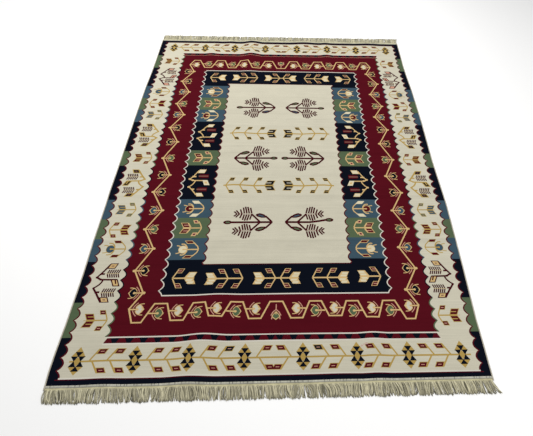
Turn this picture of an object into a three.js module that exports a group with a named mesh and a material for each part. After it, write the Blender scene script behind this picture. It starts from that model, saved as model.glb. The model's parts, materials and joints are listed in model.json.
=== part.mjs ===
// A kilim rug lying flat on the floor: a flat-woven wool body, a thin cord overcast along
// each long side, and a fringe at each end. Each fringe hangs from a narrow heading strip.
// Millimetres, +Z up. X runs across the rug, Y along it, and the floor is Z = 0. The rug is
// laid out with its middle at zero, and the finished group is centred on its own outline.

import * as THREE from 'three';

// The woven body
const BODY_WIDTH = 2000;
const BODY_LENGTH = 3000;
const CLOTH_THICKNESS = 3;
const PIECE_GAP = 0.3;

// The cord along each long side
const CORD_WIDTH = 6;
const CORD_HEIGHT = 5;
const CORD_SIDES = 8;
const CORD_PAST_END = 20;

// The heading strip of a fringe: a flat tape with a raised row of stitching at its outer edge
const TAPE_WIDTH = 15;
const TAPE_THICKNESS = 2;
const RIDGE_CREST_AT = 19.5;
const RIDGE_HEIGHT = 5;
const HEADING_WIDTH = 24.5;
const STRAND_HEIGHT = 3.4;

// The strands of a fringe
const STRANDS_PER_END = 150;
const STRAND_WIDTH = 8;
const STRAND_TIP_WIDTH = 6.4;
const STRAND_TIP_HEIGHT = 2.4;
const STRAND_TOP_SHARE = 0.62;
const STRAND_BEND_AT = 0.4;
const STRAND_DOWN_AT = 0.7;
const LONGER_OR_SHORTER = 7;
const ROOT_SHIFT = 0.5;

// How far the strands reach past the heading, and how they lean sideways, at each end
const FRINGES = {
	near: { side: - 1, reach: 57, lean: 6, leanPitch: 290, waver: 2.4, waverPitch: 123, splay: 26 },
	far: { side: 1, reach: 67, lean: 3, leanPitch: 410, waver: 1.6, waverPitch: 117, splay: 0 }
};
const SPLAY_OVER = 130;

// The long sides bow gently outward. Each row gives how far the left and the right edge stand
// to the right of a straight line, at a distance from the near end.
const SIDE_BOW = [
	{ fromNear: 0, left: 0, right: 0 },
	{ fromNear: 60, left: - 4, right: 0 },
	{ fromNear: 160, left: - 4, right: 1 },
	{ fromNear: 300, left: 0, right: 0 },
	{ fromNear: 600, left: 1, right: 10 },
	{ fromNear: 820, left: - 4, right: 15 },
	{ fromNear: 1090, left: - 5, right: 20 },
	{ fromNear: 1200, left: - 8, right: 18 },
	{ fromNear: 1480, left: - 7, right: 11 },
	{ fromNear: 1900, left: - 9, right: 15 },
	{ fromNear: 2300, left: - 8, right: 10 },
	{ fromNear: 2500, left: - 2, right: 2 },
	{ fromNear: 2660, left: 0, right: - 2 },
	{ fromNear: 2800, left: 0, right: 0 },
	{ fromNear: 3000, left: 0, right: 0 }
];

// Soft ridges where the cloth has not settled. Each runs in from one end of the rug, at a
// distance from the left edge, and is half as wide as given to each side of its crest. Its
// crest drifts to the right by a share of the way in.
const RIPPLES = [
	{ end: 'near', fromLeft: 240, drift: 0, halfWidth: 120, atEdge: 6, highest: 6, highestAt: 10, reach: 320 },
	{ end: 'near', fromLeft: 610, drift: 0.2, halfWidth: 135, atEdge: 12, highest: 19, highestAt: 230, reach: 640 },
	{ end: 'near', fromLeft: 1300, drift: 0, halfWidth: 150, atEdge: 4, highest: 4, highestAt: 10, reach: 260 },
	{ end: 'near', fromLeft: 1470, drift: 0, halfWidth: 90, atEdge: 6, highest: 10, highestAt: 220, reach: 470 },
	{ end: 'far', fromLeft: 430, drift: 0, halfWidth: 70, atEdge: 1, highest: 6, highestAt: 200, reach: 460 },
	{ end: 'far', fromLeft: 567, drift: 0, halfWidth: 60, atEdge: 3, highest: 3, highestAt: 10, reach: 200 },
	{ end: 'far', fromLeft: 752, drift: 0, halfWidth: 100, atEdge: 12, highest: 14, highestAt: 220, reach: 600 },
	{ end: 'far', fromLeft: 1195, drift: 0, halfWidth: 140, atEdge: 6, highest: 6, highestAt: 10, reach: 190 },
	{ end: 'far', fromLeft: 1376, drift: 0, halfWidth: 70, atEdge: 4, highest: 6.5, highestAt: 200, reach: 600 },
	{ end: 'far', fromLeft: 1740, drift: 0, halfWidth: 140, atEdge: 4.5, highest: 4.5, highestAt: 10, reach: 380 }
];

// Fold lines left from storage, which cross the rug from side to side as low ridges
const FOLD_LINES = [
	{ fromNear: 812, height: 3, halfWidth: 70 },
	{ fromNear: 1162, height: 2, halfWidth: 60 },
	{ fromNear: 1562, height: 2, halfWidth: 60 }
];

// Rows of the body near an end, counted inward from it, and the widest step between stations
const END_ROWS = [ 0, 40, 100, 170, 220, 300, 380, 470, 560, 650 ];
const LONG_STEP = 300;
const WIDE_STEP = 250;
const CLOSEST_STATIONS = 14;

// The body's and the yarns' finish
const WOOL_CREAM = { color: 0xcdc5ab, roughness: 0.92, metalness: 0 };
const CORD_THREAD = { color: 0xc6bda8, roughness: 0.85, metalness: 0 };
const FRINGE_YARN = { color: 0xcbc497, roughness: 0.88, metalness: 0 };

const NEAR_Y = - BODY_LENGTH / 2;
const FAR_Y = BODY_LENGTH / 2;
const LEFT_X = - BODY_WIDTH / 2;
const RIGHT_X = BODY_WIDTH / 2;

// A triangle mesh that grows point by point and face by face
class Faces {

	constructor() {

		this.positions = [];
		this.triangles = [];

	}

	point( x, y, z ) {

		this.positions.push( x, y, z );
		return this.positions.length / 3 - 1;

	}

	triangle( a, b, c ) {

		this.triangles.push( a, b, c );

	}

	quad( a, b, c, d ) {

		this.triangle( a, b, c );
		this.triangle( a, c, d );

	}

	// Quads between two lines of points that have equally many, with face normals a quarter
	// turn left of the walk from the first line to the second
	band( from, to ) {

		for ( let i = 0; i + 1 < from.length; i ++ ) {

			this.quad( from[ i ], from[ i + 1 ], to[ i + 1 ], to[ i ] );

		}

	}

	// Triangles between two lines of points spaced differently, both in order of their X
	zip( from, to ) {

		let i = 0;
		let j = 0;
		const rising = Math.sign( this.xOf( from[ from.length - 1 ] ) - this.xOf( from[ 0 ] ) );
		while ( i + 1 < from.length || j + 1 < to.length ) {

			const stepFrom = j + 1 === to.length || ( i + 1 < from.length &&
				rising * ( this.xOf( from[ i + 1 ] ) - this.xOf( to[ j + 1 ] ) ) <= 0 );
			if ( stepFrom ) {

				this.triangle( from[ i ], from[ i + 1 ], to[ j ] );
				i ++;

			} else {

				this.triangle( from[ i ], to[ j + 1 ], to[ j ] );
				j ++;

			}

		}

	}

	xOf( index ) {

		return this.positions[ 3 * index ];

	}

	geometry() {

		const geometry = new THREE.BufferGeometry();
		geometry.setAttribute( 'position', new THREE.Float32BufferAttribute( this.positions, 3 ) );
		geometry.setIndex( this.triangles );
		geometry.computeVertexNormals();
		return geometry;

	}

}

// An S-shaped step from 0 to 1
function ease( t ) {

	const s = THREE.MathUtils.clamp( t, 0, 1 );
	return s * s * ( 3 - 2 * s );

}

// A soft hump: 1 at the middle, 0 from one half-width away
function hump( offset, halfWidth ) {

	return 1 - ease( Math.abs( offset ) / halfWidth );

}

// A repeatable uneven value between -1 and 1 for a whole number
function uneven( index, kind ) {

	const wild = Math.sin( index * 12.9898 + kind * 78.233 ) * 43758.5453;
	return 2 * ( wild - Math.floor( wild ) ) - 1;

}

// The X of a ripple's crest at a distance in from its own end
function crestX( ripple, inward ) {

	return LEFT_X + ripple.fromLeft + ripple.drift * inward;

}

// How high the underside of the cloth stands above the floor
function lift( x, y ) {

	let height = 0;
	for ( const ripple of RIPPLES ) {

		const inward = ripple.end === 'near' ? y - NEAR_Y : FAR_Y - y;
		const growing = ripple.atEdge +
			( ripple.highest - ripple.atEdge ) * ease( inward / ripple.highestAt );
		const fading = 1 - ease( ( inward - ripple.highestAt ) / ( ripple.reach - ripple.highestAt ) );
		const across = hump( x - crestX( ripple, inward ), ripple.halfWidth );
		height = Math.max( height, growing * fading * across );

	}

	for ( const line of FOLD_LINES ) {

		height = Math.max( height, line.height * hump( y - ( NEAR_Y + line.fromNear ), line.halfWidth ) );

	}

	return height;

}

// The X of a long edge at a distance from the near end, straight between the rows of SIDE_BOW
function sideX( side, y ) {

	const fromNear = y - NEAR_Y;
	const upper = Math.max( 1, SIDE_BOW.findIndex( ( row ) => row.fromNear >= fromNear ) );
	const a = SIDE_BOW[ upper - 1 ];
	const b = SIDE_BOW[ upper ];
	const t = THREE.MathUtils.clamp( ( fromNear - a.fromNear ) / ( b.fromNear - a.fromNear ), 0, 1 );
	return ( side === 'left' ? LEFT_X : RIGHT_X ) + THREE.MathUtils.lerp( a[ side ], b[ side ], t );

}

// Stations in rising order, with those that lie too close to the one before them left out and
// long gaps filled evenly
function spaced( wanted, widest ) {

	const sorted = [ ...wanted ].sort( ( a, b ) => a - b );
	const last = sorted[ sorted.length - 1 ];
	const kept = [ sorted[ 0 ] ];
	for ( const value of sorted ) {

		const before = kept[ kept.length - 1 ];
		const crowdsBefore = value - before < CLOSEST_STATIONS;
		const crowdsLast = value !== last && last - value < CLOSEST_STATIONS;
		if ( crowdsBefore || crowdsLast ) {

			continue;

		}

		const steps = Math.ceil( ( value - before ) / widest );
		for ( let k = 1; k <= steps; k ++ ) {

			kept.push( before + ( value - before ) * k / steps );

		}

	}

	return kept;

}

// Stations across the rug that follow the ripples of one end at a distance in from it, or
// plain ones for its middle
function stationsAcross( end, inward ) {

	const wanted = [ LEFT_X, RIGHT_X ];
	for ( const ripple of RIPPLES.filter( ( one ) => one.end === end ) ) {

		for ( const share of [ - 1, - 0.62, - 0.3, 0, 0.3, 0.62, 1 ] ) {

			wanted.push( crestX( ripple, inward ) + share * ripple.halfWidth );

		}

	}

	return spaced( wanted, WIDE_STEP );

}

// Stations along the rug: close rows at both ends, and rows that follow the fold lines
function stationsAlong() {

	const wanted = SIDE_BOW.map( ( row ) => NEAR_Y + row.fromNear );
	for ( const inward of END_ROWS ) {

		wanted.push( NEAR_Y + inward, FAR_Y - inward );

	}

	for ( const line of FOLD_LINES ) {

		for ( const share of [ - 1, - 0.5, 0, 0.5, 1 ] ) {

			wanted.push( NEAR_Y + line.fromNear + share * line.halfWidth );

		}

	}

	return spaced( wanted, LONG_STEP );

}

// The woven body: a sheet of even thickness on the lift of the cloth
function wovenBody() {

	const faces = new Faces();
	const deepest = END_ROWS[ END_ROWS.length - 1 ];
	const rows = stationsAlong().map( ( y ) => {

		const nearEnd = y - NEAR_Y < deepest ? 'near' : 'middle';
		const end = FAR_Y - y < deepest ? 'far' : nearEnd;
		const across = stationsAcross( end, end === 'far' ? FAR_Y - y : y - NEAR_Y );
		across[ 0 ] = sideX( 'left', y );
		across[ across.length - 1 ] = sideX( 'right', y );
		return {
			under: across.map( ( x ) => faces.point( x, y, lift( x, y ) ) ),
			over: across.map( ( x ) => faces.point( x, y, lift( x, y ) + CLOTH_THICKNESS ) )
		};

	} );

	for ( let j = 0; j + 1 < rows.length; j ++ ) {

		const a = rows[ j ];
		const b = rows[ j + 1 ];
		faces.zip( a.over, b.over );
		faces.zip( b.under, a.under );
		faces.quad( a.under[ 0 ], a.over[ 0 ], b.over[ 0 ], b.under[ 0 ] );
		const p = a.under.length - 1;
		const q = b.under.length - 1;
		faces.quad( a.over[ p ], a.under[ p ], b.under[ q ], b.over[ q ] );

	}

	const first = rows[ 0 ];
	const last = rows[ rows.length - 1 ];
	faces.band( first.under, first.over );
	faces.band( last.over, last.under );
	return faces.geometry();

}

// The overcast cord beside one long edge: an eight-sided section with a flat underside
function sideCord( side ) {

	const faces = new Faces();
	const outward = side === 'left' ? - 1 : 1;
	const ys = SIDE_BOW.map( ( row ) => NEAR_Y + row.fromNear );
	ys[ 0 ] -= CORD_PAST_END;
	ys[ ys.length - 1 ] += CORD_PAST_END;
	const corner = 1 / Math.cos( Math.PI / CORD_SIDES );
	const rings = ys.map( ( y ) => {

		const middle = sideX( side, y ) + outward * ( PIECE_GAP + CORD_WIDTH / 2 );
		return Array.from( { length: CORD_SIDES }, ( _, k ) => {

			const angle = ( k + 0.5 ) * 2 * Math.PI / CORD_SIDES;
			return faces.point(
				middle + CORD_WIDTH / 2 * corner * Math.cos( angle ),
				y,
				CORD_HEIGHT / 2 * ( 1 + corner * Math.sin( angle ) ) );

		} );

	} );

	for ( let j = 0; j + 1 < rings.length; j ++ ) {

		for ( let k = 0; k < CORD_SIDES; k ++ ) {

			const next = ( k + 1 ) % CORD_SIDES;
			faces.quad( rings[ j ][ next ], rings[ j ][ k ], rings[ j + 1 ][ k ], rings[ j + 1 ][ next ] );

		}

	}

	const near = rings[ 0 ];
	const far = rings[ rings.length - 1 ];
	for ( let k = 1; k + 1 < CORD_SIDES; k ++ ) {

		faces.triangle( near[ 0 ], near[ k ], near[ k + 1 ] );
		faces.triangle( far[ 0 ], far[ k + 1 ], far[ k ] );

	}

	return faces.geometry();

}

// How far a strand's tip leans along X, for a strand that starts at x
function leanAt( fringe, x ) {

	const wave = fringe.lean * Math.sin( 2 * Math.PI * x / fringe.leanPitch );
	const waver = fringe.waver * Math.sin( 2 * Math.PI * x / fringe.waverPitch + 1 );
	const splay = fringe.splay * ease( ( x - RIGHT_X + SPLAY_OVER ) / SPLAY_OVER );
	return wave + waver + splay;

}

// One fringe: the heading strip with its strands, which grow from the strip's outer face and
// come down to lie level on the floor. It is worked out with u along the strip, v outward
// from the cloth and z up, then turned about Z to face out of its own end.
function fringe( end ) {

	const settings = FRINGES[ end ];
	const faces = new Faces();
	const endY = settings.side * ( BODY_LENGTH / 2 + PIECE_GAP );
	const place = ( u, v, z ) => faces.point( settings.side * u, endY + settings.side * v, z );
	const rise = ( u ) => lift( settings.side * u, settings.side * BODY_LENGTH / 2 );

	const stations = stationsAcross( end, 0 ).map( ( x ) => settings.side * x ).sort( ( a, b ) => a - b );
	const line = ( v, height ) => stations.map( ( u ) => place( u, v, rise( u ) + height ) );
	const backUnder = line( 0, 0 );
	const backOver = line( 0, TAPE_THICKNESS );
	const tapeEdge = line( TAPE_WIDTH, TAPE_THICKNESS );
	const crest = line( RIDGE_CREST_AT, RIDGE_HEIGHT );
	faces.band( backUnder, backOver );
	faces.band( backOver, tapeEdge );
	faces.band( tapeEdge, crest );

	// The outer face, from strand root to strand root
	const pitch = BODY_WIDTH / STRANDS_PER_END;
	const roots = Array.from( { length: STRANDS_PER_END }, ( _, i ) =>
		- BODY_WIDTH / 2 + ( i + 0.5 ) * pitch + ROOT_SHIFT * uneven( i, 1 ) );
	const frontUnder = [];
	const frontOver = [];
	const frontPoints = ( u ) => {

		frontUnder.push( place( u, HEADING_WIDTH, rise( u ) ) );
		frontOver.push( place( u, HEADING_WIDTH, rise( u ) + STRAND_HEIGHT ) );

	};

	frontPoints( - BODY_WIDTH / 2 );
	for ( const root of roots ) {

		frontPoints( root - STRAND_WIDTH / 2 );
		frontPoints( root + STRAND_WIDTH / 2 );

	}

	frontPoints( BODY_WIDTH / 2 );
	for ( let k = 0; k + 1 < frontUnder.length; k += 2 ) {

		faces.quad( frontUnder[ k + 1 ], frontUnder[ k ], frontOver[ k ], frontOver[ k + 1 ] );

	}

	for ( let i = 0; i < STRANDS_PER_END; i ++ ) {

		const k = 2 * i + 1;
		const fused = [ frontUnder[ k ], frontUnder[ k + 1 ], frontOver[ k + 1 ], frontOver[ k ] ];
		const lean = settings.side * leanAt( settings, settings.side * roots[ i ] );
		const tipShift = lean + ROOT_SHIFT * uneven( i, 2 );
		const length = settings.reach + LONGER_OR_SHORTER * uneven( i, 3 );
		const ring = ( share ) => {

			const width = THREE.MathUtils.lerp( STRAND_WIDTH, STRAND_TIP_WIDTH, share );
			const height = THREE.MathUtils.lerp( STRAND_HEIGHT, STRAND_TIP_HEIGHT, share );
			const u = roots[ i ] + tipShift * share * share;
			const v = HEADING_WIDTH + length * share;
			const floor = rise( roots[ i ] ) * ( 1 - ease( share / STRAND_DOWN_AT ) );
			const top = STRAND_TOP_SHARE * width / 2;
			return [
				place( u - width / 2, v, floor ),
				place( u + width / 2, v, floor ),
				place( u + top, v, floor + height ),
				place( u - top, v, floor + height )
			];

		};

		const rings = [ fused, ring( STRAND_BEND_AT ), ring( 1 ) ];
		for ( let j = 0; j + 1 < rings.length; j ++ ) {

			for ( let side = 0; side < 4; side ++ ) {

				const next = ( side + 1 ) % 4;
				faces.quad( rings[ j ][ next ], rings[ j ][ side ], rings[ j + 1 ][ side ], rings[ j + 1 ][ next ] );

			}

		}

		const tip = rings[ rings.length - 1 ];
		faces.quad( tip[ 3 ], tip[ 2 ], tip[ 1 ], tip[ 0 ] );

	}

	faces.zip( crest, frontOver );
	faces.zip( frontUnder, backUnder );

	// The two ends of the strip
	for ( const last of [ false, true ] ) {

		const at = ( list ) => list[ last ? list.length - 1 : 0 ];
		const outline = [ backUnder, frontUnder, frontOver, crest, tapeEdge, backOver ].map( at );
		for ( let k = 1; k + 1 < outline.length; k ++ ) {

			if ( last ) faces.triangle( outline[ 0 ], outline[ k ], outline[ k + 1 ] );
			else faces.triangle( outline[ 0 ], outline[ k + 1 ], outline[ k ] );

		}

	}

	return faces.geometry();

}

function piece( name, geometry, finish ) {

	const mesh = new THREE.Mesh( geometry, new THREE.MeshStandardMaterial( finish ) );
	mesh.name = name;
	return mesh;

}

const group = new THREE.Group();
group.add( piece( 'rug_panel', wovenBody(), WOOL_CREAM ) );
group.add( piece( 'edge_binding_left', sideCord( 'left' ), CORD_THREAD ) );
group.add( piece( 'edge_binding_right', sideCord( 'right' ), CORD_THREAD ) );
group.add( piece( 'fringe_near', fringe( 'near' ), FRINGE_YARN ) );
group.add( piece( 'fringe_far', fringe( 'far' ), FRINGE_YARN ) );

// The rug's middle, as its whole outline gives it, goes to the origin
const outline = new THREE.Box3().setFromObject( group );
const middle = outline.getCenter( new THREE.Vector3() );
group.position.set( - middle.x, - middle.y, 0 );

export default group;
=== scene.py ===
"""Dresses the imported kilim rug: its woven pattern, bound sides, stitched headings and fringes.

Sizes of the cloth, its chart and its yarns are in millimetres, measured on the woven body from its
near left corner: x to the right, y away from the viewer, z up from the floor. Meshes are in metres.
"""

import json
import logging
import math
from dataclasses import dataclass, field
from enum import Enum
from typing import Sequence

import bpy
import numpy as np
from mathutils import Matrix, Vector
from mathutils.geometry import delaunay_2d_cdt

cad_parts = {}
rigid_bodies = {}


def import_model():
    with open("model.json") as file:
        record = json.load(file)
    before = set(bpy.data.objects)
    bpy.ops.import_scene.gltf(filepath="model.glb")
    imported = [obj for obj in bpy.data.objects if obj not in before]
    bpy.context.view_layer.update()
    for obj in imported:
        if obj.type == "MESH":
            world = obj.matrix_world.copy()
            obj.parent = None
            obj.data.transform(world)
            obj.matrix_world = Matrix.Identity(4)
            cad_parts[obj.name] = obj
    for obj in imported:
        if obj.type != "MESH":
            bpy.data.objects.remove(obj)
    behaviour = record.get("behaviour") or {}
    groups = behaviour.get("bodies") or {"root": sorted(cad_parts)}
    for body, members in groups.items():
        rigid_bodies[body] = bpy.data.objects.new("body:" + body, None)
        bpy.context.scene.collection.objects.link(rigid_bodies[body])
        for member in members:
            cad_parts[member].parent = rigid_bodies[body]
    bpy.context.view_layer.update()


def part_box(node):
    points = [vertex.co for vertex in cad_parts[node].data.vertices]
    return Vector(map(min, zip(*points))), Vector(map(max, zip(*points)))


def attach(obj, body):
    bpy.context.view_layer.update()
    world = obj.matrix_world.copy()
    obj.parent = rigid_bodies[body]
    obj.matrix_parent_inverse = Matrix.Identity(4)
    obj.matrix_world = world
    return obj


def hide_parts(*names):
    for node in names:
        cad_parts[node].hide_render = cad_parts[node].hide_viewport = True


log = logging.getLogger("kilim")

MM = 0.001
BODY_WIDTH = 2000.0
BODY_LENGTH = 3000.0
CENTRE_X = BODY_WIDTH / 2
# How bright the studio makes a surface half way up the rug, against its own colour
LIGHT_LEVEL = 1.3
Place = tuple[float, float]
Points = Sequence[Place] | np.ndarray
Look = tuple[int, int, int]


def albedo(look: Look) -> np.ndarray:
    """A yarn's own colour: its look as linear light by the display's curve, over the light's level.

    Args:
        look: red, green and blue from 0 to 255, as seen half way up the rug.
    Returns:
        Linear red, green and blue, and 1.
    """
    c = np.array(look) / 255
    light = np.where(c <= 0.04045, c / 12.92, ((c + 0.055) / 1.055) ** 2.4)
    return np.append(light / LIGHT_LEVEL, 1.0)


def blend(dark: Look, light: Look, share: np.ndarray) -> np.ndarray:
    """Mixes two looks as yarn colours.

    Args:
        dark, light: looks, as albedo takes them.
        share: how much of the light one, for each point.
    Returns:
        A colour for each point.
    """
    share = np.clip(share, 0.0, 1.0)[..., None]
    return albedo(dark) * (1 - share) + albedo(light) * share


class Dye(Enum):
    """The dyed wools, as they look half way up the rug."""

    CREAM = (210, 205, 185)
    WHITE = (224, 219, 206)
    IVORY = (224, 214, 182)
    MAROON = (86, 17, 28)
    PLUM = (66, 11, 20)
    NAVY = (14, 18, 29)
    GREEN = (88, 104, 77)
    BLUE = (63, 85, 99)
    GOLD = (183, 153, 84)
    STRAW = (215, 183, 127)
    ROSE = (206, 155, 132)
    TAUPE = (126, 84, 74)
    BLUSH = (203, 178, 163)


DYES = list(Dye)


def ease(t: np.ndarray) -> np.ndarray:
    """Rises from 0 to 1 with level ends: three t squared less two t cubed, with t held in 0 to 1."""
    t = np.clip(t, 0.0, 1.0)
    return t * t * (3 - 2 * t)


def hump(distance: np.ndarray, half_width: float) -> np.ndarray:
    """Is 1 at no distance and eases down to 0 at half a width."""
    return 1 - ease(np.abs(distance) / half_width)


@dataclass(frozen=True)
class Ripple:
    """A soft ridge that runs in from an end of the rug and fades, straight or drifting to the right."""

    far: bool
    from_left: float
    drift: float
    half_width: float
    at_edge: float
    highest: float
    highest_at: float
    reach: float

    def height(self, x: np.ndarray, y: np.ndarray) -> np.ndarray:
        """The ridge's height: it grows from the edge to its highest place, then fades to its reach.

        Args:
            x, y: places on the body.
        Returns:
            Heights in millimetres.
        """
        inward = BODY_LENGTH - y if self.far else y
        growing = self.at_edge + (self.highest - self.at_edge) * ease(inward / self.highest_at)
        fading = 1 - ease((inward - self.highest_at) / (self.reach - self.highest_at))
        return growing * fading * hump(x - self.from_left - self.drift * inward, self.half_width)


@dataclass(frozen=True)
class FoldLine:
    """A low ridge straight across the rug where it was folded for storage."""

    from_near: float
    crest: float
    half_width: float

    def height(self, x: np.ndarray, y: np.ndarray) -> np.ndarray:
        """The ridge's height: its crest times a hump of the distance from the line."""
        return self.crest * hump(y - self.from_near, self.half_width)


@dataclass(frozen=True)
class Crease:
    """A short pressed wrinkle between two points."""

    start: Place
    end: Place
    crest: float
    half_width: float

    def height(self, x: np.ndarray, y: np.ndarray) -> np.ndarray:
        """The wrinkle's height: a hump across its line, which swells in the middle and dies at its ends.

        Args:
            x, y: places on the body.
        Returns:
            Heights in millimetres.
        """
        run = np.subtract(self.end, self.start)
        length = float(np.hypot(*run))
        along = ((x - self.start[0]) * run[0] + (y - self.start[1]) * run[1]) / length**2
        across = ((x - self.start[0]) * run[1] - (y - self.start[1]) * run[0]) / length
        return self.crest * ease(4 * along) * ease(4 * (1 - along)) * hump(across, self.half_width)


RIPPLES = (
    Ripple(False, 240, 0, 120, 6, 6, 10, 320),
    Ripple(False, 610, 0.2, 135, 12, 19, 230, 640),
    Ripple(False, 1300, 0, 150, 4, 4, 10, 260),
    Ripple(False, 1470, 0, 90, 6, 10, 220, 470),
    Ripple(True, 430, 0, 70, 1, 6, 200, 460),
    Ripple(True, 567, 0, 60, 3, 3, 10, 200),
    Ripple(True, 752, 0, 100, 12, 14, 220, 600),
    Ripple(True, 1195, 0, 140, 6, 6, 10, 190),
    Ripple(True, 1376, 0, 70, 4, 6.5, 200, 600),
    Ripple(True, 1740, 0, 140, 4.5, 4.5, 10, 380),
)
FOLD_LINES = (FoldLine(812, 2.6, 30), FoldLine(1162, 1.6, 30), FoldLine(1562, 2, 28))
CREASES = (
    Crease((1323, 640), (1326, 1010), 1.6, 16),
    Crease((1316, 672), (1196, 786), 1.5, 13),
    Crease((1308, 672), (1398, 772), 1.5, 13),
    Crease((676, 640), (692, 900), 1.0, 22),
    Crease((352, 60), (372, 420), 1.0, 26),
    Crease((1130, 250), (1110, 520), 0.8, 24),
)
SIDE_BOW_AT = (0, 60, 160, 300, 600, 820, 1090, 1200, 1480, 1900, 2300, 2500, 2660, 2800, 3000)
SIDE_BOW_LEFT = (0, -4, -4, 0, 1, -4, -5, -8, -7, -9, -8, -2, 0, 0, 0)
SIDE_BOW_RIGHT = (0, 0, 1, 0, 10, 15, 20, 18, 11, 15, 10, 2, -2, 0, 0)
# How much nearer the woven rows lie than charted, at the left, in the middle and at the right
ROW_DRIFT_AT = (0, 25, 240, 460, 660, 900, 1300, 2000, 2350, 2600, 2760, 2820, 2940, 2978, 3000)
ROW_DRIFT_LEFT = (0, 3, 9, 9, 8, 8, 8, 7, 6, 8, 10, 6, 9, 8, 0)
ROW_DRIFT_MIDDLE = (0, 2, 2, 2, 0, 4, 6, 8, 12, 9, 9, 7, 7, 7, 0)
ROW_DRIFT_RIGHT = (0, 6, 11, 6, 7, 15, 19, 20, 17, 15, 12, 5, 9, 8, 0)


@dataclass
class Lay:
    """How the rug lies on the floor, and where its body is in the frame.

    The inner bow is how much of its sides' bow the body's inside takes. The rest of it fades out
    over the edge band.
    """

    origin_x: float
    origin_y: float
    inner_bow: float = 0.66
    edge_band: float = 60.0

    def lift(self, x: np.ndarray, y: np.ndarray) -> np.ndarray:
        """The height of the cloth's underside: the highest of the ripples, fold lines and creases."""
        forms = RIPPLES + FOLD_LINES + CREASES
        return np.max([form.height(x, y) for form in forms], axis=0)

    def end_lift(self, x: np.ndarray, far: bool) -> np.ndarray:
        """The height of the underside along one end of the body."""
        return self.lift(x, np.full_like(x, BODY_LENGTH if far else 0.0))

    def bowed(self, x: np.ndarray, y: np.ndarray) -> np.ndarray:
        """Shifts x with the long sides: by the left side's bow at the left edge, the right side's at
        the right one, and in proportion between them, less strongly inside the edge bands.

        Args:
            x, y: places on the body.
        Returns:
            The shifted x.
        """
        left = np.interp(y, SIDE_BOW_AT, SIDE_BOW_LEFT)
        right = np.interp(y, SIDE_BOW_AT, SIDE_BOW_RIGHT)
        edge = hump(x, self.edge_band) + hump(x - BODY_WIDTH, self.edge_band)
        share = self.inner_bow + (1 - self.inner_bow) * edge
        return x + (left + (right - left) * x / BODY_WIDTH) * share

    def rowed(self, x: np.ndarray, y: np.ndarray) -> np.ndarray:
        """Shifts y by how far the woven rows have drifted, straight between left, middle and right.

        Args:
            x, y: places on the chart.
        Returns:
            The shifted y.
        """
        drifts = (ROW_DRIFT_LEFT, ROW_DRIFT_MIDDLE, ROW_DRIFT_RIGHT)
        left, middle, right = (np.interp(y, ROW_DRIFT_AT, drift) for drift in drifts)
        across = x / CENTRE_X - 1
        return y - middle - np.where(across < 0, middle - left, right - middle) * across

    def placed(self, points: np.ndarray) -> np.ndarray:
        """Turns body places in millimetres into frame places in metres.

        Args:
            points: an array that ends in x, y, z.
        Returns:
            An array of the same shape.
        """
        return points * MM + np.array([self.origin_x, self.origin_y, 0.0])


def ribbon(path: Points, width: float, bluntness: float = 0.7) -> np.ndarray:
    """Outlines a band of one width along a path, mitred at its corners.

    Args:
        path: the band's middle line.
        width: across the band.
        bluntness: how short the mitres stay: 1 for no longer than half the width.
    Returns:
        The closed outline.
    """
    p = np.asarray(path, float)
    run = np.diff(p, axis=0)
    run /= np.linalg.norm(run, axis=1, keepdims=True)
    side = np.stack([-run[:, 1], run[:, 0]], axis=1)
    mitre = np.vstack([side[:1], side[:-1] + side[1:], side[-1:]])
    mitre /= np.linalg.norm(mitre, axis=1, keepdims=True)
    facing = np.concatenate([[1.0], np.sum(mitre[1:-1] * side[:-1], axis=1), [1.0]])
    step = mitre * (width / 2 / np.clip(facing, bluntness, 1.0))[:, None]
    return np.vstack([p + step, (p - step)[::-1]])


def oval(centre: Place, across: float, along: float, corners: int) -> np.ndarray:
    """Outlines an oval: its half sizes times the cosine and sine of equal turns."""
    turn = np.linspace(0, 2 * math.pi, corners, endpoint=False)
    return np.stack([centre[0] + across * np.cos(turn), centre[1] + along * np.sin(turn)], axis=1)


def bow(start: Place, bend: Place, end: Place, points: int = 7) -> np.ndarray:
    """A curved path from start to end, pulled towards bend as a quadratic curve."""
    t = np.linspace(0, 1, points)[:, None]
    return (1 - t) ** 2 * np.array(start) + 2 * t * (1 - t) * np.array(bend) + t**2 * np.array(end)


def covered(outline: np.ndarray, points: np.ndarray) -> np.ndarray:
    """Finds the points inside an outline: those that its edges wind round, counted on a level line.

    Args:
        outline: the corners in order.
        points: rows of x and y.
    Returns:
        The numbers of the points inside.
    """
    low, high = outline.min(axis=0), outline.max(axis=0)
    near = np.flatnonzero(np.all((points > low) & (points < high), axis=1))
    x, y = points[near, 0, None], points[near, 1, None]
    ax, ay = outline[:, 0], outline[:, 1]
    bx, by = np.roll(ax, -1), np.roll(ay, -1)
    turn = (bx - ax) * (y - ay) - (by - ay) * (x - ax)
    rising = (ay <= y) & (by > y) & (turn > 0)
    falling = (ay > y) & (by <= y) & (turn < 0)
    return near[rising.sum(axis=1) != falling.sum(axis=1)]


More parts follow.
